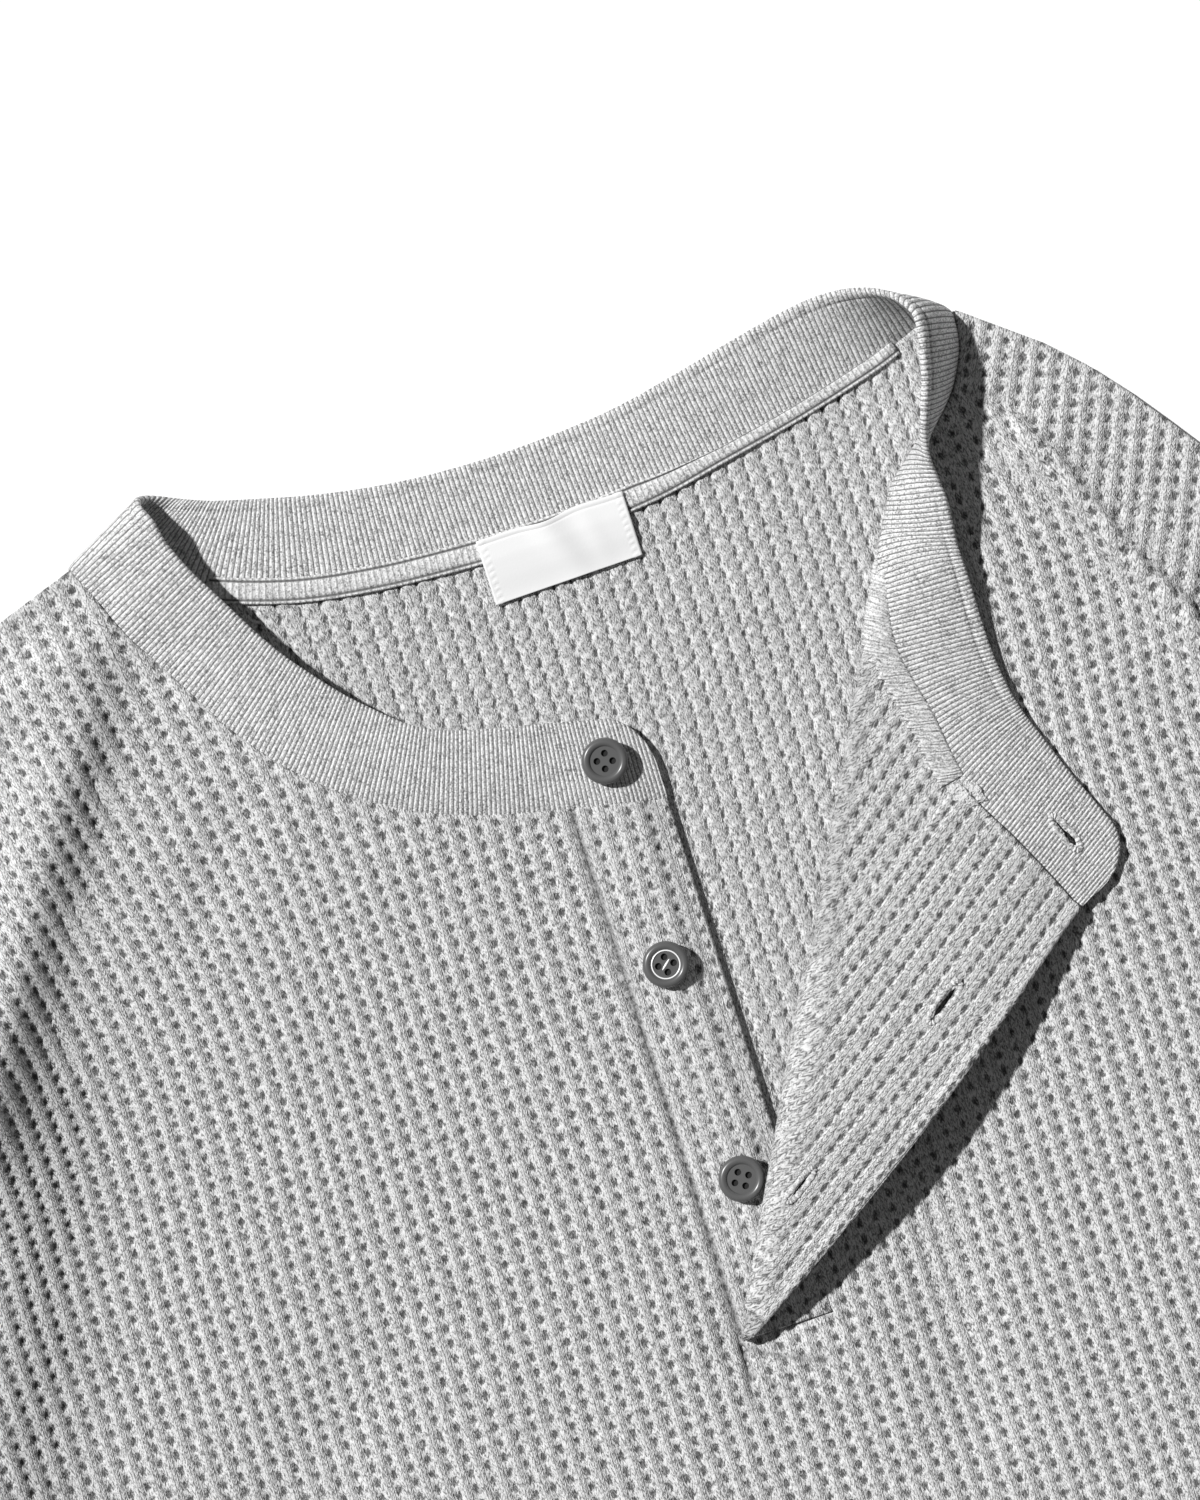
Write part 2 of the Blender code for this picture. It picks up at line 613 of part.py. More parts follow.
def collar_rows():
    """Seam point, top-edge point and bulge at every section, round the whole neck."""
    right, back, left = main_necklines()
    rows = []
    for k, row in enumerate(right):
        lies = lies_button_strip if row[0] > -PLACKET_HALF else lies_front
        rows.append((seam_start(lies, row, right, k, -1.0), row[2:5], row[5]))
    turn = spaced(RIGHT_TURN, [3, 4, 5], 3.0)
    rows += [(r[:3], r[3:6], r[6]) for r in turn]
    for k, row in enumerate(back):
        rows.append((seam_start(lies_back, row, back, k, 1.0), row[2:5], row[5]))
    for r in np.asarray(LEFT_TURN):
        rows.append((r[:3], r[3:6], r[6]))
    for k, row in enumerate(left):
        lies = lies_buttonhole_strip if row[0] < PLACKET_HALF else lies_front
        rows.append((seam_start(lies, row, left, k, -1.0), row[2:5], row[5]))
    return rows


def round_end(distance):
    """Share of the collar's width that is left this far from its end."""
    if distance >= END_LONG:
        return 1.0
    fall = END_DEEP * (1.0 - math.sqrt(1.0 - (1.0 - distance / END_LONG) ** 2))
    return 1.0 - fall / COLLAR_WIDTH


def collar():
    rows = collar_rows()
    seams = np.array([r[0] for r in rows])
    edges = np.array([r[1] for r in rows])
    bulges = np.array([r[2] for r in rows])
    middle_line = along((seams + edges) / 2)
    length = middle_line[-1]
    # extra sections close to the two ends, where the corners are round
    near_end = np.array([0.0, 1.2, 3.0, 5.5])
    wanted = np.concatenate([near_end, middle_line[1:-1], length - near_end[::-1]])
    hole_middle = length - COLLAR_HOLE_IN
    hole = (hole_middle - COLLAR_HOLE_LONG / 2, hole_middle + COLLAR_HOLE_LONG / 2)
    wanted = [d for d in wanted if not hole[0] - 2.5 < d < hole[1] + 2.5] + [hole[0], hole_middle, hole[1]]
    wanted = sorted(wanted)
    kept = [wanted[0]]
    for d in wanted[1:]:
        if d - kept[-1] > 1.0:
            kept.append(d)
    seams = smooth_rows(seams, middle_line, kept)
    edges = smooth_rows(edges, middle_line, kept)
    bulges = np.interp(kept, middle_line, bulges)
    middles = np.zeros((len(kept), len(COLLAR_LINES) + 1, 3))
    for i, d in enumerate(kept):
        share = round_end(min(d, length - d))
        run = seams[min(i + 1, len(kept) - 1)] - seams[max(i - 1, 0)]
        across = unit(edges[i] - seams[i])
        up = unit(np.cross(unit(edges[min(i + 1, len(kept) - 1)] - edges[max(i - 1, 0)] + run), across))
        for j, v in enumerate(COLLAR_LINES + [1.0 + RIB / 2 / COLLAR_WIDTH * 0.8]):
            place = seams[i] + (edges[i] - seams[i]) * v * share
            middles[i, j] = place + up * bulges[i] * 4.0 * min(v, 1.0) * (1.0 - min(v, 1.0))
    return collar_solid(middles, kept, hole)


def collar_solid(middles, distances, hole):
    sections, lines = middles.shape[0], middles.shape[1] - 1
    outs = np.zeros_like(middles)
    for i in range(sections):
        for j in range(lines):
            du = middles[min(i + 1, sections - 1), j] - middles[max(i - 1, 0), j]
            dv = middles[i, min(j + 1, lines - 1)] - middles[i, max(j - 1, 0)]
            outs[i, j] = unit(np.cross(du, dv))
    points, loop = [], 2 * lines + 1
    for i in range(sections):
        points += [middles[i, j] + outs[i, j] * RIB / 2 for j in range(lines)]
        points.append(middles[i, lines])
        points += [middles[i, j] - outs[i, j] * RIB / 2 for j in reversed(range(lines))]
    slot = COLLAR_LINES.index(0.47)
    polygons = []
    for i in range(sections - 1):
        a, b = i * loop, (i + 1) * loop
        in_hole = distances[i] >= hole[0] - 1e-6 and distances[i + 1] <= hole[1] + 1e-6
        for k in range(loop):
            n = (k + 1) % loop
            if in_hole and k in (slot, loop - 2 - slot):
                continue
            polygons.append((a + k, b + k, b + n, a + n))
        if in_hole:
            far = loop - 1 - slot
            polygons.append((a + slot, b + slot, b + far, a + far))
            polygons.append((b + slot + 1, a + slot + 1, a + far - 1, b + far - 1))
            if distances[i] <= hole[0] + 1e-6:
                polygons.append((a + slot, a + far, a + far - 1, a + slot + 1))
            if distances[i + 1] >= hole[1] - 1e-6:
                polygons.append((b + slot + 1, b + far - 1, b + far, b + slot))
    for start, flip in ((0, False), ((sections - 1) * loop, True)):
        for k in range(lines - 1):
            quad = (start + k, start + k + 1, start + loop - 2 - k, start + loop - 1 - k)
            polygons.append(quad if not flip else quad[::-1])
        nose = (start + lines - 1, start + lines, start + lines + 1)
        polygons.append(nose if not flip else nose[::-1])
    return solid("collar", "rib", points, polygons)


# ---- sleeves -----------------------------------------------------------------------


def sleeve_height(k, v):
    """Top of the sleeve over the floor, from the middle of its folded edge up."""
    crown = math.sin(math.pi * v) ** 0.7
    height = 2 * SLEEVE_EDGE + SLEEVE_PUFF * crown * (0.55 + 0.45 * math.sin(math.pi * min(k * 1.1, 1.0)))
    for place, v0, v1, half, rise in SLEEVE_CREASES:
        span = v1 - v0
        share = (v - v0) / span
        slanted = place + 0.05 * (v - 0.5)
        ends = ease(share * 3.0 + 0.2) * ease((1.0 - share) * 3.0 + 0.2)
        height += rise * math.exp(-(((k - slanted) / half) ** 2) * 1.6) * ends * crown * 0.8
    return height


def sleeve(name):
    spec = SLEEVES[name]
    armhole = curve(spec["armhole"], SLEEVE_ACROSS + 1)
    cuff_top, cuff_under = (np.array(p) for p in spec["cuff"])
    cuff = [cuff_top + (cuff_under - cuff_top) * v / SLEEVE_ACROSS for v in range(SLEEVE_ACROSS + 1)]
    outward = unit((cuff[0] + cuff[-1]) / 2 - (armhole[0] + armhole[-1]) / 2)
    up_side = unit(cuff_top - cuff_under)
    sections_outer, sections_inner = [], []
    for i in range(SLEEVE_SECTIONS + 1):
        k = i / SLEEVE_SECTIONS
        row = []
        for j in range(SLEEVE_ACROSS + 1):
            start = armhole[j] + outward * 0.75
            bow = up_side * spec["bow"] * math.sin(math.pi * k) * (1.0 - j / SLEEVE_ACROSS)
            row.append(start + (cuff[j] - start) * k + bow)
        sections_outer.append(sleeve_loop(row, k, 0.0))
        sections_inner.append(sleeve_loop(row, k, WAFFLE))
    mirrored = outward[0] > 0
    return tube(name, sections_outer, sections_inner, mirrored)


def sleeve_loop(row, k, inset):
    """One closed section: along the floor, round the underarm edge, back over the top."""
    width = np.linalg.norm(row[-1] - row[0])
    across = (row[-1] - row[0]) / width
    radius = SLEEVE_EDGE - inset
    places = [row[0] + across * SLEEVE_EDGE] + list(row[1:-1]) + [row[-1] - across * SLEEVE_EDGE]
    shares = np.linspace(0.0, 1.0, len(row))
    low = [np.array([p[0], p[1], inset]) for p in places]
    high = [np.array([p[0], p[1], sleeve_height(k, v) - inset]) for p, v in zip(places, shares)]
    bends = []
    for end, sign in ((places[-1], 1.0), (places[0], -1.0)):
        bend = []
        for angle in (-45.0, 0.0, 45.0):
            out = radius * math.cos(math.radians(angle)) * sign
            lift = SLEEVE_EDGE + radius * math.sin(math.radians(angle))
            bend.append(np.array([end[0] + across[0] * out, end[1] + across[1] * out, lift]))
        bends.append(bend if sign > 0 else bend[::-1])
    return low + bends[0] + high[::-1] + bends[1]


def tube(name, outers, inners, mirrored):
    loop = len(outers[0])
    points = [p for section in outers for p in section] + [p for section in inners for p in section]
    shift = len(outers) * loop
    polygons = []
    for i in range(len(outers) - 1):
        for k in range(loop):
            n = (k + 1) % loop
            a, b = i * loop, (i + 1) * loop
            polygons.append((a + k, a + n, b + n, b + k))
            polygons.append((shift + b + k, shift + b + n, shift + a + n, shift + a + k))
    last = (len(outers) - 1) * loop
    for k in range(loop):
        n = (k + 1) % loop
        polygons.append((k, shift + k, shift + n, n))
        polygons.append((last + n, shift + last + n, shift + last + k, last + k))
    if mirrored:
        polygons = [polygon[::-1] for polygon in polygons]
    return solid(name, "waffle", points, polygons)


# ---- tape, label and buttons -------------------------------------------------------


def neck_tape():
    """The strip that covers the back neck seam inside."""
    line = [(x, y) for x, y, *_ in BACK_COLLAR if TAPE_SPAN[0] < x < TAPE_SPAN[1]]
    first = np.interp(TAPE_SPAN[0], *zip(*[(r[0], r[1]) for r in BACK_COLLAR]))
    last = np.interp(TAPE_SPAN[1], *zip(*[(r[0], r[1]) for r in BACK_COLLAR]))
    line = spaced([(TAPE_SPAN[0], first)] + line + [(TAPE_SPAN[1], last)], [0, 1], 8.0)
    lows, highs = [], []
    for k, p in enumerate(line):
        out = plan_normal(line, k)
        lows.append(p - out * TAPE_WIDTH / 2)
        highs.append(p + out * TAPE_WIDTH / 2 * np.interp(p[0], [30.0, 55.0], [1.0, 0.2]))
    level = WAFFLE + GAP
    points = []
    for low, high in zip(lows, highs):
        for z in (level, level + TAPE_THICK):
            points += [np.array([low[0], low[1], z]), np.array([high[0], high[1], z])]
    polygons = []
    for i in range(len(line) - 1):
        a, b = 4 * i, 4 * (i + 1)
        polygons += [(a, a + 1, b + 1, b), (a + 2, b + 2, b + 3, a + 3)]
        polygons += [(a, b, b + 2, a + 2), (a + 1, a + 3, b + 3, b + 1)]
    end = 4 * (len(line) - 1)
    polygons += [(0, 2, 3, 1), (end, end + 1, end + 3, end + 2)]
    return solid("neck_tape", "tape", points, polygons)


def label():
    level = WAFFLE + GAP + TAPE_THICK + GAP
    xs = np.linspace(LABEL["left"], LABEL["right"], 9)
    points, polygons = [], []
    for x in xs:
        share = (x - LABEL["left"]) / (LABEL["right"] - LABEL["left"])
        ripple = 0.5 * math.sin(share * math.pi * 2.6) ** 2
        for y, z in ((LABEL["low"], level + ripple), (LABEL["high"], level + ripple * 0.4)):
            points += [np.array([x, y, z]), np.array([x, y, z + LABEL["thick"]])]
    for i in range(len(xs) - 1):
        a, b = 4 * i, 4 * (i + 1)
        polygons += [(a, a + 2, b + 2, b), (a + 1, b + 1, b + 3, a + 3)]
        polygons += [(a, b, b + 1, a + 1), (a + 2, a + 3, b + 3, b + 2)]
    end = 4 * (len(xs) - 1)
    polygons += [(0, 1, 3, 2), (end, end + 2, end + 3, end + 1)]
    return solid("label", "label", points, polygons)


# Button profile from the raised rim's inner foot, over the rim and under: shares of the
# radius and of the thickness
BUTTON_PROFILE = [(0.58, 0.64), (0.66, 0.80), (0.74, 0.98), (0.84, 0.98), (0.95, 0.82),
                  (1.0, 0.52), (0.93, 0.22), (0.72, 0.0), (0.58, 0.0)]
BUTTON_SIDES = 28
NEEDLE_HOLES = {"radius": 0.95, "out": 1.8, "sides": 8}
BUTTON_TURN = math.radians(18.0)


def circle(x, y, radius, sides):
    turns = [2 * math.pi * k / sides for k in range(sides)]
    return [(x + radius * math.cos(t), y + radius * math.sin(t)) for t in turns]


def button(name):
    """A turned four-hole button: a drilled disc inside a raised rim."""
    radius, out = BUTTON_DIAMETER / 2, NEEDLE_HOLES["out"]
    rim = circle(0.0, 0.0, BUTTON_PROFILE[0][0] * radius, BUTTON_SIDES)
    holes = [
        circle(out * math.cos(t), out * math.sin(t), NEEDLE_HOLES["radius"], NEEDLE_HOLES["sides"])
        for t in (BUTTON_TURN + math.pi / 2 * k for k in range(4))
    ]
    verts, faces = triangles_of(rim, holes, [], 0.0)
    count, top = len(verts), BUTTON_PROFILE[0][1] * BUTTON_THICK
    points = [(v[0], v[1], top) for v in verts] + [(v[0], v[1], 0.0) for v in verts]
    polygons, sides = [], set()
    for a, b, c in faces:
        polygons += [(a, b, c), (c + count, b + count, a + count)]
        sides.update(((a, b), (b, c), (c, a)))
    chains = {}
    for i, v in enumerate(verts):
        if np.linalg.norm(v) > BUTTON_PROFILE[0][0] * radius - 0.05:
            away = unit(v)
            chains[i] = [i]
            for share, height in BUTTON_PROFILE[1:-1]:
                chains[i].append(len(points))
                points.append((*(away * share * radius), height * BUTTON_THICK))
            chains[i].append(i + count)
    for a, b in sides:
        if (b, a) in sides:
            continue
        if a in chains and b in chains:
            for k in range(len(BUTTON_PROFILE) - 1):
                polygons.append((chains[b][k], chains[a][k], chains[a][k + 1], chains[b][k + 1]))
        else:
            polygons.append((b, a, a + count, b + count))
    x, y = BUTTONS[name]
    height, tilt = button_seat(x, y)
    lean = np.array([[1, 0, 0], [0, math.cos(tilt), -math.sin(tilt)], [0, math.sin(tilt), math.cos(tilt)]])
    place = np.array([x, y, height])
    return solid(name, "button", [lean @ np.array(p) + place for p in points], sorted(polygons))


def button_seat(x, y):
    """Height of a button's underside and its tilt: it lies on the highest cloth below."""
    if y > -10.0:  # on the collar's end
        crests = []
        for seam, edge, bulge in collar_rows()[1:4]:
            share = (y - seam[1]) / (edge[1] - seam[1])
            crests.append(seam[2] + (edge[2] - seam[2]) * share + abs(bulge))
            slope = math.atan2(edge[2] - seam[2], edge[1] - seam[1])
        return max(crests) + (RIB / 2 + GAP) / math.cos(slope), slope
    near = [lies_button_strip(x + dx, y + dy)[2] for dx in (-6.0, 0.0, 6.0) for dy in (-6.0, 0.0, 6.0)]
    return max(near) + STRIP / 2 + GAP, 0.0


# ---- making the part ---------------------------------------------------------------


def make_materials():
    for name, (colour, roughness, metallic) in MATERIALS.items():
        material = bpy.data.materials.new(name)
        material.use_nodes = True
        shader = material.node_tree.nodes["Principled BSDF"]
        shader.inputs["Base Color"].default_value = colour
        shader.inputs["Roughness"].default_value = roughness
        shader.inputs["Metallic"].default_value = metallic


def centre_on_floor(objects):
    """Moves the whole garment so that its box stands centred on the origin, in metres."""
    corners = np.array([v.co[:] for o in objects for v in o.data.vertices])
    middle = (corners.min(0) + corners.max(0)) / 2
    for obj in bpy.context.scene.objects:
        for vertex in obj.data.vertices:
            vertex.co = (
                (vertex.co.x - middle[0]) * MM,
                (vertex.co.y - middle[1]) * MM,
                vertex.co.z * MM,
            )


def main():
    for obj in list(bpy.data.objects):
        bpy.data.objects.remove(obj)
    make_materials()
    cloth = [front_panel(), back_panel(), *placket_strips(), collar()]
    cloth += [sleeve(name) for name in SLEEVES]
    trim = [neck_tape(), label()] + [button(name) for name in BUTTONS]
    centre_on_floor(cloth + trim)
    for obj in cloth + trim:
        obj.data.shade_smooth()
        obj.data.set_sharp_from_angle(angle=math.radians(40.0))


main()
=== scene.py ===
import math
import time

import bpy
import numpy as np
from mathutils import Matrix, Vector, geometry
from mathutils.bvhtree import BVHTree


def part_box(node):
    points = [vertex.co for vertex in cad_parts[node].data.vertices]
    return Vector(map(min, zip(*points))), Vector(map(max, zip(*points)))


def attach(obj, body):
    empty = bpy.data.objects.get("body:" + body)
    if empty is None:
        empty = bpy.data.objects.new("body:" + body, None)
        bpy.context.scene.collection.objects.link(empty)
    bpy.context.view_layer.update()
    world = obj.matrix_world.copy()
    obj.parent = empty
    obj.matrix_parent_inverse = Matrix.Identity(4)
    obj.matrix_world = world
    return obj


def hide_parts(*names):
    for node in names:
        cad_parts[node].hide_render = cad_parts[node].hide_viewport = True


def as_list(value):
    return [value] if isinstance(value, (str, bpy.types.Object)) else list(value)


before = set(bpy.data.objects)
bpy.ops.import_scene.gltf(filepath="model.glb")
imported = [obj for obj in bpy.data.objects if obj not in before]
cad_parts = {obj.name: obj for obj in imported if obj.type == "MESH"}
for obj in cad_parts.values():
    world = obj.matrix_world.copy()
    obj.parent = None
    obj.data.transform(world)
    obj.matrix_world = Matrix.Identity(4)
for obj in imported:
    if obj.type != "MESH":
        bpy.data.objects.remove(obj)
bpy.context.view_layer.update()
bpy.ops.object.select_all(action="DESELECT")
startTime = time.time()

# Lengths below are millimetres in the garment's own plan: X to the wearer's left from the
# centre front, Y to the neck from the top button, Z up. placeOf turns them into the frame.
layout = {
    "waffle": 2.2,
    "rib": 2.0,
    "strip": 2.4,
    "gap": 0.3,
    "placketHalf": 12.3,
    "footY": -157.0,
    "secondButton": (-1.3, -55.9),
    "buttonholes": [(1.6, -54.5, 10.0, 1.8), (2.8, -115.2, 9.0, 0.7)],
    "edgeBow": 1.8,
    "puff": 3.0,
    "puffReach": 95.0,
}
backMid = layout["waffle"] / 2
frontMid = layout["waffle"] * 1.5 + layout["gap"]
overStrip = layout["strip"] + layout["gap"] + 0.05
stripLow = layout["waffle"] + layout["gap"] + layout["strip"] / 2

secondLow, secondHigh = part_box("button_2")
centreX = (secondLow[0] + secondHigh[0]) / 2 - layout["secondButton"][0] * 0.001
centreY = (secondLow[1] + secondHigh[1]) / 2 - layout["secondButton"][1] * 0.001

# the turned front folds about a straight line from the placket's foot
foldAngle = math.radians(27.6)
foldFoot = np.array([1.1 - layout["placketHalf"], 0.4 + layout["footY"]])
foldAlong = np.array([math.sin(foldAngle), math.cos(foldAngle)])
foldAcross = np.array([math.cos(foldAngle), -math.sin(foldAngle)])
foldRoll = [(0, 1.8), (12, 3.2), (26, 3.8), (38, 4.4), (51, 4.9), (64, 5.4), (77, 5.3), (90, 5.2),
            (102, 4.7), (115, 3.7), (128, 2.6), (300, 2.6)]
foldSettle = (60.0, 110.0)
tip = {"drop": 1.9, "near": 42.0, "far": 72.0}
foot = {"dip": 2.5, "run": 20.0, "reach": 14.0}

# neck x, neck y, edge x, edge y, edge z, bulge to the wearer
rightCollar = [
    (12.5, -14.3, 12.8, 8.4, 4.6, -0.2),
    (4.3, -12.7, 4.9, 9.8, 5.2, -0.3),
    (-10.8, -9.4, -8.9, 13.0, 6.8, -0.6),
    (-25.8, -6.2, -20.5, 15.6, 8.2, -1.0),
    (-40.5, -2.0, -34.0, 18.8, 9.0, -1.0),
    (-54.6, 4.1, -45.0, 23.4, 9.8, -1.0),
    (-68.0, 12.7, -55.0, 31.6, 9.8, -1.0),
    (-76.4, 19.7, -61.3, 37.8, 9.9, -1.0),
    (-84.4, 28.2, -67.3, 44.9, 10.1, -1.0),
    (-91.9, 38.1, -73.4, 52.7, 10.5, -1.0),
    (-98.8, 50.0, -79.4, 62.4, 11.0, -1.0),
    (-105.7, 61.9, -85.0, 72.7, 11.8, -0.9),
    (-112.0, 72.5, -90.5, 82.7, 12.4, -0.8),
    (-115.5, 81.6, -93.8, 90.8, 12.8, -0.6),
]
# seam x, y, z, edge x, y, z, bulge
rightTurn = [
    (-117.6, 88.5, 4.2, -95.4, 98.0, 13.0, -0.3),
    (-119.0, 91.6, 3.7, -97.3, 102.4, 11.2, 0.0),
    (-119.5, 92.6, 2.6, -96.8, 104.0, 7.4, 0.0),
    (-118.9, 91.8, 1.5, -93.6, 103.8, 3.2, 0.0),
    (-116.6, 89.3, 1.0, -89.6, 102.2, 1.0, 0.0),
]
backCollar = [
    (-108.0, 84.6, -84.5, 99.9, 1.0, 0.0),
    (-98.0, 79.6, -79.5, 97.9, 1.0, 0.0),
    (-88.0, 75.4, -74.0, 96.2, 1.2, 0.0),
    (-78.0, 71.7, -68.0, 94.6, 1.4, 0.0),
    (-64.0, 67.6, -58.5, 92.1, 1.6, 0.0),
    (-45.0, 64.5, -43.0, 88.9, 1.8, 0.2),
    (-25.0, 62.9, -25.0, 86.6, 2.0, 0.3),
    (-5.0, 62.3, -6.0, 85.8, 2.0, 0.3),
    (15.0, 62.8, 13.5, 86.4, 2.2, 0.3),
    (35.0, 64.6, 32.5, 88.3, 2.6, 0.3),
    (54.0, 68.4, 50.5, 92.0, 3.6, 0.3),
    (78.0, 73.4, 74.5, 97.2, 6.0, 0.0),
    (92.0, 77.0, 89.0, 99.4, 9.5, -0.5),
    (104.0, 80.6, 99.6, 98.4, 14.5, -1.0),
    (113.0, 84.2, 106.6, 95.6, 19.0, -1.4),
]
leftTurn = [
    (119.4, 87.4, 1.8, 110.8, 92.0, 22.0, -1.4),
    (123.2, 86.3, 2.9, 113.4, 87.6, 23.5, -1.2),
]
leftCollar = [
    (124.8, 82.0, 113.4, 83.0, 24.0, -1.2),
    (124.0, 77.0, 112.2, 77.0, 24.2, -1.2),
    (121.5, 71.0, 110.3, 69.4, 24.2, -1.0),
    (117.5, 64.5, 107.6, 61.8, 24.0, -0.8),
    (112.5, 59.5, 105.6, 56.0, 23.8, -0.4),
    (107.0, 55.0, 104.8, 51.2, 23.6, 0.4),
    (101.0, 49.8, 105.3, 45.4, 21.0, 1.2),
    (95.5, 44.5, 106.0, 38.2, 18.2, 1.8),
    (92.5, 38.0, 105.4, 30.0, 15.2, 2.0),
    (83.0, 25.6, 105.4, 18.2, 12.8, 1.8),
    (70.2, 12.0, 105.4, -1.6, 10.8, 1.2),
    (49.7, 2.5, 107.4, -17.5, 10.0, 0.8),
    (31.9, -5.8, 110.8, -28.1, 9.4, 0.6),
    (15.0, -8.0, 115.8, -41.5, 9.2, 0.4),
    (-0.2, -10.4, 121.4, -54.9, 9.2, 0.2),
    (-12.3, -12.6, 125.8, -66.8, 9.3, 0.0),
]
rightShoulder = [(-119.9, 92.0), (-128.0, 89.2), (-142.7, 84.1), (-180.0, 69.0), (-216.0, 54.5),
                 (-250.0, 39.0)]
rightArmhole = [(-250.0, 39.0), (-249.0, -30.0), (-258.0, -105.0), (-281.0, -165.0)]
leftShoulder = [(125.4, 85.6), (135.5, 77.6), (146.5, 68.8), (157.0, 57.8), (166.9, 44.9),
                (176.5, 31.4), (190.0, 12.5), (206.0, -8.0), (222.0, -28.0)]
leftArmhole = [(222.0, -28.0), (219.0, -100.0), (232.0, -175.0), (264.0, -240.0)]
hemRight = (-273.0, -605.0)
hemLeft = (277.0, -605.0)

# start x, y, end x, y, half width, height, steepness of the far side
frontCreases = [
    (-123.0, 66.0, -200.0, -60.0, 18.0, 8.0, 1.5),
    (-172.0, -8.0, -228.0, -162.0, 27.0, 10.4, 1.1),
    (-114.0, 78.0, -206.0, 42.0, 14.0, 6.0, 1.2),
    (-96.0, 22.0, -116.0, -12.0, 9.0, -1.2, 1.0),
    (-100.0, -120.0, -150.0, -178.0, 20.0, -1.6, 1.0),
    (49.0, -132.0, 39.0, -205.0, 13.0, -1.6, 1.0),
    (131.0, 56.0, 166.0, -30.0, 11.0, 4.4, 2.2),
    (160.0, -16.0, 240.0, -190.0, 18.0, 5.0, 1.8),
    (122.0, 50.0, 149.0, 68.0, 7.0, -2.2, 1.0),
    (150.0, 40.0, 196.0, -22.0, 14.0, 2.2, 1.2),
    (120.0, -150.0, 226.0, -300.0, 26.0, 3.2, 1.3),
    (-120.0, -230.0, -232.0, -330.0, 26.0, 3.0, 1.2),
    (-60.0, -300.0, -150.0, -470.0, 30.0, -1.8, 1.0),
    (70.0, -320.0, 40.0, -520.0, 32.0, 2.4, 1.2),
    (180.0, -360.0, 205.0, -560.0, 26.0, 2.2, 1.2),
    (-215.0, -400.0, -190.0, -570.0, 24.0, 2.2, 1.2),
    (-20.0, -470.0, -30.0, -590.0, 24.0, 1.8, 1.0),
]


def placeOf(points):
    points = np.asarray(points, float)
    return points * 0.001 + np.array([centreX, centreY, 0.0])


def ease(value):
    t = np.clip(value, 0.0, 1.0)
    return t * t * (3.0 - 2.0 * t)


def hump(away, wide):
    return np.exp(-((away / wide) ** 2))


def unitRows(rows):
    return rows / np.maximum(np.linalg.norm(rows, axis=-1, keepdims=True), 1e-9)


def lengthAlong(points):
    steps = np.linalg.norm(np.diff(np.asarray(points, float), axis=0), axis=1)
    return np.concatenate([[0.0], np.cumsum(steps)])


def smoothRows(rows, distances, wanted):
    rows = np.asarray(rows, float)
    slopes = np.gradient(rows, distances, axis=0)
    wanted = np.asarray(wanted, float)
    k = np.clip(np.searchsorted(distances, wanted) - 1, 0, len(rows) - 2)
    span = (distances[k + 1] - distances[k])[:, None]
    t = (wanted - distances[k])[:, None] / span
    return ((2 * t**3 - 3 * t**2 + 1) * rows[k] + (t**3 - 2 * t**2 + t) * span * slopes[k]
            + (3 * t**2 - 2 * t**3) * rows[k + 1] + (t**3 - t**2) * span * slopes[k + 1])


def spacedRows(rows, columns, step):
    rows = np.asarray(rows, float)
    distances = lengthAlong(rows[:, columns])
    count = max(2, int(round(distances[-1] / step)) + 1)
    return smoothRows(rows, distances, np.linspace(0.0, distances[-1], count))


def curveThrough(points, step):
    return spacedRows(points, [0, 1], step)


# how the cloth lies
seamLine = np.array([*curveThrough(leftShoulder, 20), *curveThrough(leftArmhole, 20)[1:], hemLeft, hemRight,
                     *curveThrough(rightArmhole, 20)[::-1], *curveThrough(rightShoulder, 20)[::-1][1:]])


def distanceTo(line, x, y, closed=False):
    line = np.asarray(line, float)
    starts = line if closed else line[:-1]
    ends = np.roll(line, -1, axis=0) if closed else line[1:]
    run = ends - starts
    size = np.maximum((run * run).sum(1), 1e-9)
    best = np.empty(len(x))
    for i in range(0, len(x), 4000):
        px, py = x[i:i + 4000, None], y[i:i + 4000, None]
        share = ((px - starts[:, 0]) * run[:, 0] + (py - starts[:, 1]) * run[:, 1]) / size
        share = np.clip(share, 0.0, 1.0)
        dx = px - starts[:, 0] - share * run[:, 0]
        dy = py - starts[:, 1] - share * run[:, 1]
        best[i:i + 4000] = np.sqrt((dx * dx + dy * dy).min(1))
    return best


def isInside(loop, x, y):
    loop = np.asarray(loop, float)
    x0, y0 = loop[:, 0], loop[:, 1]
    x1, y1 = np.roll(x0, -1), np.roll(y0, -1)
    found = np.zeros(len(x), bool)
    for i in range(0, len(x), 4000):
        px, py = x[i:i + 4000, None], y[i:i + 4000, None]
        crosses = ((y0 > py) != (y1 > py))
        at = x0 + (py - y0) * (x1 - x0) / np.where(y1 == y0, 1e-9, y1 - y0)
        found[i:i + 4000] = (crosses & (px < at)).sum(1) % 2 == 1
    return found


def creaseHeight(x, y, creases):
    total = np.zeros(len(x))
    for x0, y0, x1, y1, half, height, steep in creases:
        runX, runY = x1 - x0, y1 - y0
        length = math.hypot(runX, runY)
        share = ((x - x0) * runX + (y - y0) * runY) / length**2
        side = ((x - x0) * runY - (y - y0) * runX) / length
        side = np.where((side > 0) == (x0 < x1), side * steep, side)
        ends = ease(share * 3.0 + 0.4) * ease((1.0 - share) * 3.0 + 0.4)
        total += height * np.exp(-((side / half) ** 2) * 1.6) * ends
    return total


# how far the button strip sinks, so that both strips end flush with the front
def footDip(y):
    return foot["dip"] * ease((layout["footY"] + foot["run"] - y) / foot["run"])


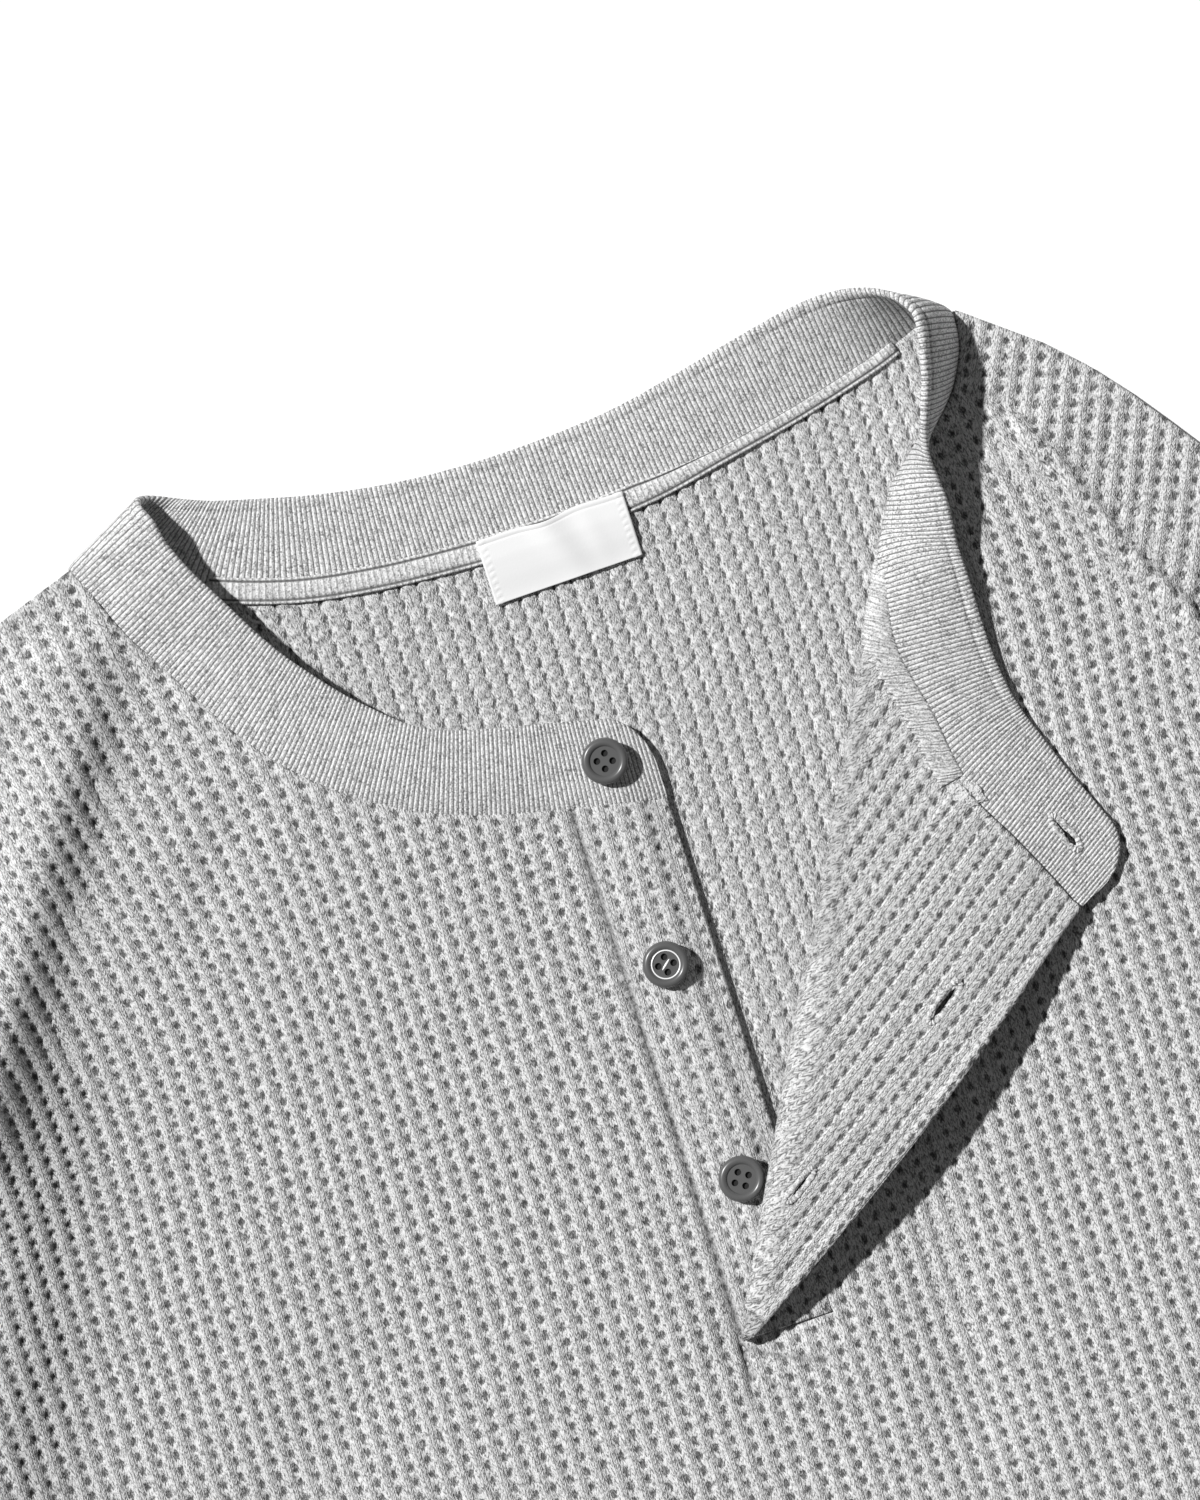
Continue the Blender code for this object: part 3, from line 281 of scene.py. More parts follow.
# the front goes down with the strip along its sewn edge and round the foot's corner
def footDimple(x, y):
    half = layout["placketHalf"]
    beside = np.where(x < -half, ease(1.0 + (x + half) / foot["reach"]), ease((half - x) / (2 * half)))
    below = np.where(y < layout["footY"], ease(1.0 - (layout["footY"] - y) / foot["reach"]), 1.0)
    return footDip(y) * beside * below


# the buttonhole strip's height over the front's own
def overAt(x, y):
    settled = ease((foldPlace(x, y)[0] - foldSettle[0]) / (foldSettle[1] - foldSettle[0]))
    return overStrip * (1.0 - settled) - footDip(y) + footDimple(x, y)


def frontHeight(x, y):
    away = distanceTo(seamLine, x, y)
    lift = layout["puff"] * ease(away / layout["puffReach"])
    lift = lift + creaseHeight(x, y, frontCreases) * ease(away / 30.0)
    return frontMid + np.maximum(0.0, lift) - footDimple(x, y)


def alongTable(table, places):
    at, values = zip(*table)
    return np.interp(places, at, values)


def rollRadius(s):
    return alongTable(foldRoll, s)


def foldPlace(x, y):
    dx, dy = x - foldFoot[0], y - foldFoot[1]
    return dx * foldAlong[0] + dy * foldAlong[1], dx * foldAcross[0] + dy * foldAcross[1]


def liesLeft(x, y, strip=False):
    s, w = foldPlace(x, y)
    radius = rollRadius(s)
    near = np.where(s > 0, ease(1.0 - (np.abs(w) - radius) / 26.0), 0.0)
    if strip:
        near = np.ones(len(x))
    flat = frontHeight(x, y) + overAt(x, y) * near
    lineX, lineY = foldFoot[0] + s * foldAlong[0], foldFoot[1] + s * foldAlong[1]
    footX, footY = lineX + radius * foldAcross[0], lineY + radius * foldAcross[1]
    foldZ = frontHeight(footX, footY) + overAt(footX, footY)
    turn = math.pi / 2 * (1.0 - np.clip(w / radius, -1.0, 1.0))
    rolling = w > -radius
    out = np.where(rolling, radius * (1.0 - np.sin(turn)), -w)
    drop = tip["drop"] * ease((-w - tip["near"]) / (tip["far"] - tip["near"]))
    height = np.where(rolling, foldZ + radius * (1.0 - np.cos(turn)), foldZ + 2.0 * radius - drop)
    folded = (s > 0) & (w < radius)
    return np.stack([np.where(folded, lineX + out * foldAcross[0], x),
                     np.where(folded, lineY + out * foldAcross[1], y),
                     np.where(folded, height, flat)], 1)


def liesFront(x, y):
    plain = np.stack([x, y, frontHeight(x, y)], 1)
    beside = (x > 0) & (y > layout["footY"])
    return np.where(beside[:, None], liesLeft(x, y), plain)


def liesButtonholeStrip(x, y):
    return liesLeft(x, y, strip=True)


def liesButtonStrip(x, y):
    half = layout["placketHalf"]
    level = frontHeight(x, y) + (layout["strip"] - layout["waffle"]) / 2 - footDip(y) + footDimple(x, y)
    return np.stack([x, y, level + (stripLow - level) * ease((x - 1.0) / (half - 1.0))], 1)


def liesBack(x, y):
    return np.stack([x, y, np.full(len(x), backMid)], 1)


def outOf(lies, x, y, h=0.25):
    du = lies(x + h, y) - lies(x - h, y)
    dv = lies(x, y + h) - lies(x, y - h)
    return unitRows(np.cross(du, dv))


# the knit
knit = {
    "across": 4.9,  # from one wale to the next
    "up": 4.2,  # from one row of cells to the next
    "rise": 0.62,  # rows climb this much from wale to wale
    "shoulderTurn": math.radians(10.5),
    "patchTurn": math.radians(-25.0),
}
ridgeLine = [(112.0, 66.0), (122.0, 63.5), (132.0, 57.0), (141.0, 38.0), (151.0, 12.0), (164.0, -14.0),
             (184.0, -50.0), (262.0, -230.0)]


# the wales' small wanderings, and their lean towards the wearer's right shoulder
def knitDrift(x, y):
    lean = knit["shoulderTurn"] * ease((-x - 40.0) / 90.0) * ease((y + 110.0) / 130.0)
    driftX = 0.35 * np.sin(y / 19.0 + 1.0) + 0.25 * np.sin((x + y) / 33.0) - lean * (y + 20.0) * 0.9
    driftY = 0.30 * np.sin(x / 15.0) + 0.25 * np.sin((x - y) / 27.0) + lean * (x + 90.0) * 0.9
    near = ease((x - 92.0) / 46.0) * ease((y + 40.0) / 90.0)
    driftX = driftX + near * 0.16 * (58.0 - y)
    return driftX, driftY


# plan position of the knit's cell coordinates
def knitPlace(u, v, zone=0):
    x = u * knit["across"]
    y = v * knit["up"] + u * knit["rise"]
    if zone == 1:
        c, s = math.cos(knit["patchTurn"]), math.sin(knit["patchTurn"])
        x, y = 150.0 + c * (x - 150.0) - s * (y - 20.0), 20.0 + s * (x - 150.0) + c * (y - 20.0)
        return x + 0.3 * np.sin(y / 14.0), y + 0.3 * np.sin(x / 12.0)
    driftX, driftY = knitDrift(x, y)
    return x + driftX, y + driftY


# cell coordinates of a plan position: the inverse, found in a few steps
def knitCell(x, y, zone=0):
    u = x / knit["across"]
    v = (y - u * knit["rise"]) / knit["up"]
    for _ in range(14):
        px, py = knitPlace(u, v, zone)
        errorX, errorY = x - px, y - py
        if zone == 1:
            c, s = math.cos(-knit["patchTurn"]), math.sin(-knit["patchTurn"])
            errorX, errorY = c * errorX - s * errorY, s * errorX + c * errorY
        u = u + errorX / knit["across"] * 0.9
        v = v + (errorY - errorX / knit["across"] * knit["rise"]) / knit["up"] * 0.9
    return u, v


# outer face of the waffle, in mm: a narrow rib, a pit and a puff in every cell
def waffleFace(u, v):
    du, dv = u - np.floor(u), v - np.floor(v) - 0.5
    fromRib = np.minimum(du, 1.0 - du)
    rib = hump(fromRib, 0.11)
    own = np.sin(np.floor(u) * 12.9898 + np.floor(v) * 78.233) * 43758.5453
    own = own - np.floor(own)
    pit = (0.78 + 0.44 * own) * np.exp(-(((du - 0.36 - 0.22 * dv) / 0.18) ** 2 + (dv / 0.30) ** 2) ** 1.4)
    puff = np.exp(-(((du - 0.68) / 0.20) ** 2 + (dv / 0.44) ** 2) ** 1.2)
    return -0.22 + 0.46 * rib - 1.15 * pit + 0.36 * puff


# the placket's cloth is stretched along its ribs, and its pits run almost together
def placketFace(u, v):
    du, dv = u - np.floor(u), v - np.floor(v) - 0.5
    fromRib = np.minimum(du, 1.0 - du)
    pit = np.exp(-(((du - 0.36 - 0.12 * dv) / 0.14) ** 2 + (dv / 0.40) ** 2) ** 1.3)
    puff = np.exp(-(((du - 0.66) / 0.20) ** 2 + (dv / 0.46) ** 2) ** 1.2)
    return -0.16 + 0.42 * hump(fromRib, 0.12) - 0.85 * pit + 0.30 * puff


# inner face, in mm: a puff that starts at a deep hollow and runs on into the rib
def waffleInside(u, v):
    du, dv = u - np.floor(u), v - np.floor(v) - 0.5
    hollow = np.exp(-(((du - 0.20 - 0.18 * (dv - 0.10)) / 0.13) ** 2 + ((dv - 0.10) / 0.33) ** 2) ** 1.3)
    puff = np.exp(-(((du - 0.56) / 0.29) ** 2 + (dv / 0.385) ** 2) ** 1.9)
    fromRib = np.minimum(du, 1.0 - du)
    return -0.5 + 0.82 * puff - 0.95 * hollow + 0.42 * hump(fromRib, 0.10)


# where a plan point falls in the camera's 1200 x 1500 view
def viewSpot(x, y):
    return 606 + 3.75 * (0.9518 * x - 0.3066 * y), 762 - 3.75 * (0.3066 * x + 0.9518 * y)


def isNear(x, y, margin=14.0):
    u, v = viewSpot(x, y)
    return (u > -margin) & (u < 1200 + margin) & (v > -margin) & (v < 1500 + margin)


def knitPoints(box, acrossCount, upCount, zone=0):
    x0, x1, y0, y1 = box
    corners = [knitCell(np.array([x]), np.array([y]), zone) for x in (x0, x1) for y in (y0, y1)]
    us = [float(c[0][0]) for c in corners]
    vs = [float(c[1][0]) for c in corners]
    u = np.arange(math.floor(min(us)) * acrossCount, math.ceil(max(us)) * acrossCount) / acrossCount
    v = np.arange(math.floor(min(vs)) * upCount, math.ceil(max(vs)) * upCount) / upCount
    u, v = (a.ravel() for a in np.meshgrid(u, v))
    return (*knitPlace(u, v, zone), u, v)


# 1 on the sleeve side of the fold that runs from the wearer's left shoulder
def beyondRidge(x, y):
    line = np.asarray(ridgeLine)
    at = np.interp(y, line[::-1, 1], line[::-1, 0])
    return ((x > at) & (y < 66.0)) | ((x > 108.0) & (y >= 66.0))


# delaunay triangles inside the loops, through the loops' points and the inner ones
def trianglesOf(loops, x, y):
    points, edges = [], []
    for loop in loops:
        start = len(points)
        points += [Vector((float(p[0]), float(p[1]))) for p in loop]
        edges += [(start + k, start + (k + 1) % len(loop)) for k in range(len(loop))]
    points += [Vector((float(a), float(b))) for a, b in zip(x, y)]
    verts, _, faces, *_ = geometry.delaunay_2d_cdt(points, edges, [], 1, 1e-5)
    verts = np.array([v[:] for v in verts])
    faces = np.array([f[:] for f in faces], int)
    for hole in loops[1:]:
        middle = verts[faces].mean(1)
        faces = faces[~isInside(hole, middle[:, 0], middle[:, 1])]
    return verts, faces


def shiftInside(loop, x, y, u, v, clear):
    keep = isInside(loop, x, y)
    x, y, u, v = x[keep], y[keep], u[keep], v[keep]
    far = distanceTo(loop, x, y, closed=True) > clear
    return x[far], y[far], u[far], v[far]


def finishMesh(name, points, polygons, material, uv=None, extra=None):
    mesh = bpy.data.meshes.new(name)
    mesh.from_pydata(placeOf(points).tolist(), [], polygons)
    obj = bpy.data.objects.new(name, mesh)
    bpy.context.collection.objects.link(obj)
    mesh.materials.append(material)
    if uv is not None:
        layer = mesh.uv_layers.new(name="UVMap")
        loops = np.empty(len(mesh.loops), int)
        mesh.loops.foreach_get("vertex_index", loops)
        values = uv[loops] if len(uv) == len(points) else uv
        layer.data.foreach_set("uv", np.asarray(values, np.float32).ravel())
    for key, values in (extra or {}).items():
        attribute = mesh.attributes.new(key, "FLOAT", "POINT")
        attribute.data.foreach_set("value", np.asarray(values, np.float32))
    mesh.shade_smooth()
    mesh.update()
    return obj


# quads round a row of sections, and a cap at each end; turned when the sections run the other way
def tubeFaces(count, ring, turned=False):
    polygons = []
    for i in range(count - 1):
        a, b = i * ring, (i + 1) * ring
        for k in range(ring):
            n = (k + 1) % ring
            polygons.append((a + k, a + n, b + n, b + k) if turned else (a + k, b + k, b + n, a + n))
    first, last = tuple(range(ring)), tuple(range((count - 1) * ring, count * ring))
    return polygons + ([first[::-1], last] if turned else [first, last[::-1]])


# a closed cloth wall. faces holds, for the outer and the inner side, the inner points (x, y, u, v),
# the zone of each plan point, and the relief's height
def cloth(name, materials, loops, lies, thick, faces, shadeOf=None):
    boundary = np.array([p for loop in loops for p in loop], float)
    count = len(boundary)
    points, polygons, uvs, bare, rims, slots, paintedShade = [], [], [], [], [], [], []
    for side, (inner, reliefs, zoneOf, extraHeight) in zip((1.0, -1.0), faces):
        verts, tris = trianglesOf(loops, inner[0], inner[1])
        x, y = verts[:, 0], verts[:, 1]
        zone = zoneOf(x, y).astype(int)
        away = np.full(len(x), 1e9)
        for loop in loops:
            away = np.minimum(away, distanceTo(loop, x, y, closed=True))
        cell = [knitCell(x, y, 0), knitCell(x, y, 1)]
        u = np.where(zone == 1, cell[1][0], cell[0][0])
        v = np.where(zone == 1, cell[1][1], cell[0][1])
        fine = isNear(x, y, 20.0) if reliefs else np.zeros(len(x), bool)
        relief = np.zeros(len(x))
        if reliefs:
            relief = reliefs(u, v, x, y) * ease(away / 1.7) * fine
        if extraHeight is not None:
            relief = relief + extraHeight(x, y)
        middle, out = lies(x, y), outOf(lies, x, y)
        base = sum(len(p) for p in points)
        points.append(middle + side * out * (thick / 2 + relief)[:, None])
        if side < 0:
            tris = tris[:, ::-1]
        polygons += (tris + base).tolist()
        centre = verts[tris].mean(1)
        triZone = zoneOf(centre[:, 0], centre[:, 1]).astype(int)
        for t, z in zip(tris, triZone):
            for i in t:
                uvs.append((cell[z][0][i], cell[z][1][i]))
        bare.append(np.where(fine, 0.0, 1.0))
        # the painted shade that shadeOf gives, kept as a point attribute for the material
        paintedShade.append(shadeOf(x, y, side) if shadeOf else np.zeros(len(x)))
        rims.append((base, verts, u, v))
        slots += [0 if side > 0 else 1] * len(tris)
    # the rim: both faces keep the loops' points first, in order
    rimBase = sum(len(p) for p in points)
    middle = lies(boundary[:, 0], boundary[:, 1])
    start = 0
    for k, loop in enumerate(loops):
        line = boundary[start:start + len(loop)]
        run = unitRows(np.roll(line, -1, axis=0) - np.roll(line, 1, axis=0))
        outward = np.stack([run[:, 1], -run[:, 0]], 1) * rimSide(line) * (1.0 if k == 0 else -1.0)
        moved = lies(line[:, 0] + outward[:, 0] * 0.2, line[:, 1] + outward[:, 1] * 0.2)
        back = lies(line[:, 0] - outward[:, 0] * 0.2, line[:, 1] - outward[:, 1] * 0.2)
        middle[start:start + len(loop)] += unitRows(moved - back) * thick * 0.14
        start += len(loop)
    points.append(middle)
    bare.append(np.ones(count))
    paintedShade.append(shadeOf(boundary[:, 0], boundary[:, 1], 1.0) if shadeOf else np.zeros(count))
    start = 0
    for k, loop in enumerate(loops):
        size = len(loop)
        ccw = (rimSide(boundary[start:start + size]) > 0) == (k == 0)
        for i in range(size):
            a, b = start + i, start + (i + 1) % size
            quadTop = (rims[0][0] + b, rims[0][0] + a, rimBase + a, rimBase + b)
            quadLow = (rimBase + b, rimBase + a, rims[1][0] + a, rims[1][0] + b)
            for quad in (quadTop, quadLow):
                corners = (b, a, a, b)
                if not ccw:
                    quad, corners = quad[::-1], corners[::-1]
                polygons.append(quad)
                uvs += [(rims[0][2][c], rims[0][3][c]) for c in corners]
        start += size
    obj = finishMesh(name, np.concatenate(points), polygons, materials[0], np.array(uvs),
                     {"bare": np.concatenate(bare), "paintedShade": np.concatenate(paintedShade)})
    if len(materials) > 1:
        obj.data.materials.append(materials[1])
        slots += [0] * (len(polygons) - len(slots))
        obj.data.polygons.foreach_set("material_index", slots)
    print(name, len(obj.data.polygons), "faces", round(time.time() - startTime, 1), "s")
    return obj


def rimSide(line):
    area = (line[:, 0] * np.roll(line[:, 1], -1) - np.roll(line[:, 0], -1) * line[:, 1]).sum()
    return 1.0 if area > 0 else -1.0


def planArea(loop):
    loop = np.asarray(loop, float)
    return abs((loop[:, 0] * np.roll(loop[:, 1], -1) - np.roll(loop[:, 0], -1) * loop[:, 1]).sum()) / 2e6


def coarseGrid(x0, x1, y0, y1, step):
    x, y = np.meshgrid(np.arange(x0, x1 + step, step), np.arange(y0, y1 + step, step))
    return x.ravel(), y.ravel()


def joinPoints(*groups):
    return [np.concatenate([g[i] for g in groups]) for i in range(4)]


def withCells(x, y):
    return (x, y, *knitCell(x, y))


def makeNodes(name, roughness):
    material = bpy.data.materials.new(name)
    material.use_nodes = True
    shader = material.node_tree.nodes["Principled BSDF"]
    shader.inputs["Roughness"].default_value = roughness
    return material, material.node_tree, shader


def feed(socket, value):
    # numbers and colours are set on the socket, and outputs are linked to it
    if isinstance(value, (int, float, tuple)):
        socket.default_value = value
    else:
        socket.id_data.links.new(value, socket)


def maths(operation, *values, clamp=False):
    tree = next(v.id_data for v in values if not isinstance(v, (int, float)))
    node = tree.nodes.new("ShaderNodeMath")
    node.operation = operation
    node.use_clamp = clamp
    for socket, value in zip(node.inputs, values):
        feed(socket, value)
    return node.outputs[0]


def times(a, b):
    return maths("MULTIPLY", a, b)


def plus(a, b, clamp=False):
    return maths("ADD", a, b, clamp=clamp)


def minus(a, b):
    return maths("SUBTRACT", a, b)


def larger(a, b):
    return maths("MAXIMUM", a, b)


def grey(value):
    return (value, value, value, 1.0)


def mixColours(factor, one, two):
    node = factor.id_data.nodes.new("ShaderNodeMix")
    node.data_type = "RGBA"
    for socket, value in ((0, factor), (6, one), (7, two)):
        feed(node.inputs[socket], value)
    return node.outputs[2]


def smoothStep(value, low, high, outLow=0.0, outHigh=1.0):
    node = value.id_data.nodes.new("ShaderNodeMapRange")
    node.interpolation_type = "SMOOTHSTEP"
    for socket, number in zip(("From Min", "From Max", "To Min", "To Max"), (low, high, outLow, outHigh)):
        feed(node.inputs[socket], number)
    feed(node.inputs["Value"], value)
    return node.outputs["Result"]


def noiseAt(vector, scale, detail, rough=0.6):
    noise = vector.id_data.nodes.new("ShaderNodeTexNoise")
    for socket, value in (("Scale", scale), ("Detail", detail), ("Roughness", rough), ("Vector", vector)):
        feed(noise.inputs[socket], value)
    return noise.outputs["Fac"]


def attributeOf(tree, name):
    node = tree.nodes.new("ShaderNodeAttribute")
    node.attribute_name = name
    return node.outputs["Fac"]


def objectPlace(tree):
    return tree.nodes.new("ShaderNodeTexCoord").outputs["Object"]


def splitUv(tree):
    uv = tree.nodes.new("ShaderNodeUVMap")
    uv.uv_map = "UVMap"
    split = tree.nodes.new("ShaderNodeSeparateXYZ")
    feed(split.inputs[0], uv.outputs["UV"])
    return split.outputs[0], split.outputs[1]


def pair(x, y):
    node = x.id_data.nodes.new("ShaderNodeCombineXYZ")
    feed(node.inputs[0], x)
    feed(node.inputs[1], y)
    return node.outputs[0]


def addBump(shader, height, distance, strength=1.0):
    bump = shader.id_data.nodes.new("ShaderNodeBump")
    for socket, value in (("Distance", distance), ("Strength", strength), ("Height", height)):
        feed(bump.inputs[socket], value)
    feed(shader.inputs["Normal"], bump.outputs["Normal"])


# squared distance from a place in the cell, 1 on the ellipse
def spot(fu, fv, atU, atV, halfU, halfV):
    du = maths("DIVIDE", minus(fu, atU), halfU)
    dv = maths("DIVIDE", minus(fv, atV), halfV)
    return plus(times(du, du), times(dv, dv))


stitches = {
    "columns": 4.0,  # stitches to a cell, across and along
    "lean": 3.2,
    "across": 13.0,  # fibre strokes to a cell
    "along": 2.6,
    "legTilt": 7.0,
    "ribHalf": 0.115,  # the rib's share of the cell, on either side
}
fuzz = {"speckle": 2300.0, "broad": 260.0, "fibreShare": 0.72, "bump": 0.42}


# short strokes along both legs of the stitches
def stitchFibres(u, v):
    share = maths("FRACT", times(u, stitches["columns"]))
    side = minus(times(maths("GREATER_THAN", share, 0.5), 2.0), 1.0)
    tilt = times(times(side, stitches["lean"]), v)
    across = plus(times(u, stitches["across"]), tilt)
    along = plus(times(v, stitches["along"]), times(side, 31.0))
    return noiseAt(pair(across, along), 1.0, 1.5)


# the rib's V stitches: 1 on a leg, 0 between two stitches
def ribLegs(u, v):
    fromRib = maths("ABSOLUTE", minus(maths("FRACT", plus(u, 0.5)), 0.5))
    turn = minus(times(v, stitches["columns"]), times(fromRib, stitches["legTilt"]))
    wave = maths("COSINE", times(turn, 2 * math.pi))
    inRib = smoothStep(fromRib, stitches["ribHalf"] - 0.04, stitches["ribHalf"], 1.0, 0.0)
    return fromRib, times(wave, inRib)


def waffleMaterial(name, dark, light, inside=False, pitHalf=(0.17, 0.31)):
    material, tree, shader = makeNodes(name, 0.95)
    u, v = splitUv(tree)
    fu, fv = maths("FRACT", u), maths("FRACT", v)
    fromRib, legs = ribLegs(u, v)
    place = objectPlace(tree)
    speckle = noiseAt(place, fuzz["speckle"], 1.0)
    broad = noiseAt(place, fuzz["broad"], 2.0)
    mixed = plus(times(stitchFibres(u, v), fuzz["fibreShare"]), times(speckle, 1.0 - fuzz["fibreShare"]))
    colour = mixColours(smoothStep(mixed, 0.36, 0.58), grey(dark), grey(light))
    uneven = times(minus(mixed, 0.5), 4.6)
    # deep marks the pits of the outer face and the hollows of the inner one; it sets their bump and their
    # painted shade
    if inside:
        leaning = minus(fu, times(minus(fv, 0.6), 0.18))
        hollow = spot(leaning, fv, 0.19, 0.62, 0.095, 0.31)
        deep = smoothStep(plus(hollow, uneven), 0.1, 1.9, 1.0, 0.0)
        depth, besideShade, betweenShade = 0.5, 0.22, 0.18
    else:
        pit = spot(fu, fv, 0.37, 0.52, *pitHalf)
        deep = smoothStep(plus(pit, uneven), 0.0, 1.6, 1.0, 0.0)
        depth, besideShade, betweenShade = 0.6, 0.42, 0.30
    relief = times(deep, -depth)
    # painted shade in the seams and on the turned roll, read from the point attribute
    paintedShade = attributeOf(tree, "paintedShade")
    closing = smoothStep(paintedShade, 0.0, 0.08, 1.0, 0.35)  # the pits close where the cloth is creased
    deep = times(deep, closing)
    # thin shade on both sides of the rib, and between its stitches
    side = maths("ABSOLUTE", minus(fromRib, 0.125))
    beside = smoothStep(side, 0.0, 0.04, besideShade, 0.0)
    between = smoothStep(legs, -1.0, -0.3, betweenShade, 0.0)
    # painted shade: darkest in the pits and hollows, thin beside the rib and between its stitches
    shade = larger(times(deep, 0.82), larger(beside, between))
    # a random broad tone, plus the painted shade from the attribute, darkens the colour
    drift = plus(smoothStep(broad, 0.3, 0.7, 0.0, 0.10), paintedShade)
    colour = mixColours(plus(shade, drift, clamp=True), colour, grey(dark * 0.30))
    feed(shader.inputs["Base Color"], colour)
    # where the cells aren't in the mesh, the bump is deeper
    weight = plus(times(attributeOf(tree, "bare"), 0.8), 0.25)
    height = times(times(relief, weight), closing)
    height = plus(plus(height, times(mixed, fuzz["bump"])), times(legs, 0.07))
    addBump(shader, minus(height, times(beside, 0.30)), 0.001, 0.9)
    return material


# fine rib: u counts the ribs, v is millimetres along them
def ribMaterial(name, dark, light, ribHeight, lineShade=0.84, stitchedAt=None):
    material, tree, shader = makeNodes(name, 0.92)
    u, v = splitUv(tree)
    streaks = noiseAt(pair(times(u, 2.0), times(v, 0.55)), 1.6, 2.0, 0.7)
    speckle = noiseAt(objectPlace(tree), 2100.0, 1.0)
    mixed = plus(times(streaks, 0.5), times(speckle, 0.5))
    patches = noiseAt(pair(times(u, 0.5), times(v, 0.22)), 1.0, 2.0)
    tone = smoothStep(plus(mixed, times(minus(patches, 0.5), 0.24)), 0.30, 0.60)
    ridge = maths("COSINE", times(u, 2 * math.pi))
    # painted shade in the grooves between the ribs, and along the stitched grooves where given
    groove = smoothStep(ridge, -1.0, -0.42, lineShade, 0.0)
    if stitchedAt:
        fromLine = maths("ABSOLUTE", minus(maths("ABSOLUTE", v), stitchedAt))
        groove = larger(groove, smoothStep(fromLine, 0.14, 0.48, 0.92, 0.0))
    colour = mixColours(tone, grey(dark), grey(light))
    feed(shader.inputs["Base Color"], mixColours(groove, colour, grey(dark * 0.5)))
    addBump(shader, plus(times(ridge, ribHeight), times(mixed, 0.35)), 0.001, 0.8)
    return material


def plainMaterial(name, value, roughness, bumpScale=0.0, bumpDepth=0.0):
    material, tree, shader = makeNodes(name, roughness)
    feed(shader.inputs["Base Color"], grey(value))
    if bumpScale:
        addBump(shader, noiseAt(objectPlace(tree), bumpScale, 2.0, 0.5), bumpDepth)
    return material


waffleCloth = waffleMaterial("heatherWaffle", 0.17, 0.79)
waffleWrong = waffleMaterial("heatherWaffleInside", 0.15, 0.75, inside=True)
ribCloth = ribMaterial("heatherRib", 0.16, 0.82, 0.13)
placketCloth = waffleMaterial("heatherPlacket", 0.17, 0.80, pitHalf=(0.13, 0.42))
stripCloth = waffleMaterial("heatherStrip", 0.20, 0.80, pitHalf=(0.15, 0.26))
seamYarn = ribMaterial("seamYarn", 0.18, 0.84, 0.16, lineShade=0.42)
tapeCloth = ribMaterial("heatherTape", 0.24, 0.82, 0.07, lineShade=0.5, stitchedAt=2.5)
labelSatin = plainMaterial("whiteSatin", 0.83, 0.45, 2500.0, 0.00003)
buttonResin = plainMaterial("darkResin", 0.108, 0.30)
puckeredCloth = plainMaterial("puckeredCloth", 0.70, 0.95, 1300.0, 0.0012)
# near-black for the thread and the painted shade in the buttons' holes
threadAndHoleShade = plainMaterial("threadAndHoleShade", 0.015, 0.9)
# near-white for the painted highlights on the second button
paintedHighlight = plainMaterial("paintedHighlight", 0.95, 0.3)
floorPaint = plainMaterial("floorPaint", 0.93, 0.9)

# neckline and outlines
necks = {"right": spacedRows(rightCollar, [0, 1], 6.0),
         "back": spacedRows(backCollar, [0, 1], 9.6),
         "left": spacedRows(leftCollar, [0, 1], 6.0)}
slit = layout["placketHalf"] + layout["gap"]


# more points on the same straight runs
def denser(points, step):
    found = [np.asarray(points[0], float)]
    for a, b in zip(points[:-1], points[1:]):
        a, b = np.asarray(a, float), np.asarray(b, float)
        count = max(1, int(round(np.linalg.norm(b - a) / step)))
        found += [a + (b - a) * k / count for k in range(1, count + 1)]
    return [tuple(p) for p in found]


# joins runs of points into one loop, leaving out points that repeat
def outlineOf(parts):
    loop = []
    for part in parts:
        for p in part:
            if not loop or math.dist(loop[-1], p) > 0.05:
                loop.append((float(p[0]), float(p[1])))
    if math.dist(loop[0], loop[-1]) < 0.05:
        loop.pop()
    return loop


def neckHeight(rows, x):
    xs, ys = zip(*sorted((r[0], r[1]) for r in rows))
    return np.interp(x, xs, ys)


# points close together inside the camera's view and further apart outside it
def fineRun(points, fine=1.1, coarse=9.0):
    found = []
    for p, q in zip(points[:-1], points[1:]):
        near = isNear(np.array([p[0], q[0]]), np.array([p[1], q[1]]), 40.0).any()
        found += denser([p, q], fine if near else coarse)[:-1]
    return found + [tuple(points[-1])]


def smoothLine(line):
    return [tuple(p) for p in curveThrough(line, 12.0)]


def frontOutline():
    rightNeck = [tuple(r[:2]) for r in necks["right"] if r[0] < -slit - 1.5]
    leftNeck = [tuple(r[:2]) for r in necks["left"] if r[0] > slit + 1.5]
    topRight = float(neckHeight(necks["right"], -slit))
    topLeft = float(neckHeight(necks["left"], slit))
    foot = layout["footY"] - layout["gap"]
    parts = [
        fineRun([(-slit, topRight)] + rightNeck + [(-118.3, 88.6)] + smoothLine(rightShoulder)),
        fineRun(smoothLine(rightArmhole)),
        fineRun([rightArmhole[-1], hemRight]),
        fineRun([hemRight, hemLeft]),
        fineRun([hemLeft, leftArmhole[-1]]),
        fineRun(smoothLine(leftArmhole)[::-1]),
        fineRun(smoothLine(leftShoulder)[::-1] + leftNeck + [(slit, topLeft)]),
        fineRun([(slit, topLeft), (slit, foot), (-slit, foot), (-slit, topRight)]),
    ]
    return outlineOf(parts)[::-1]


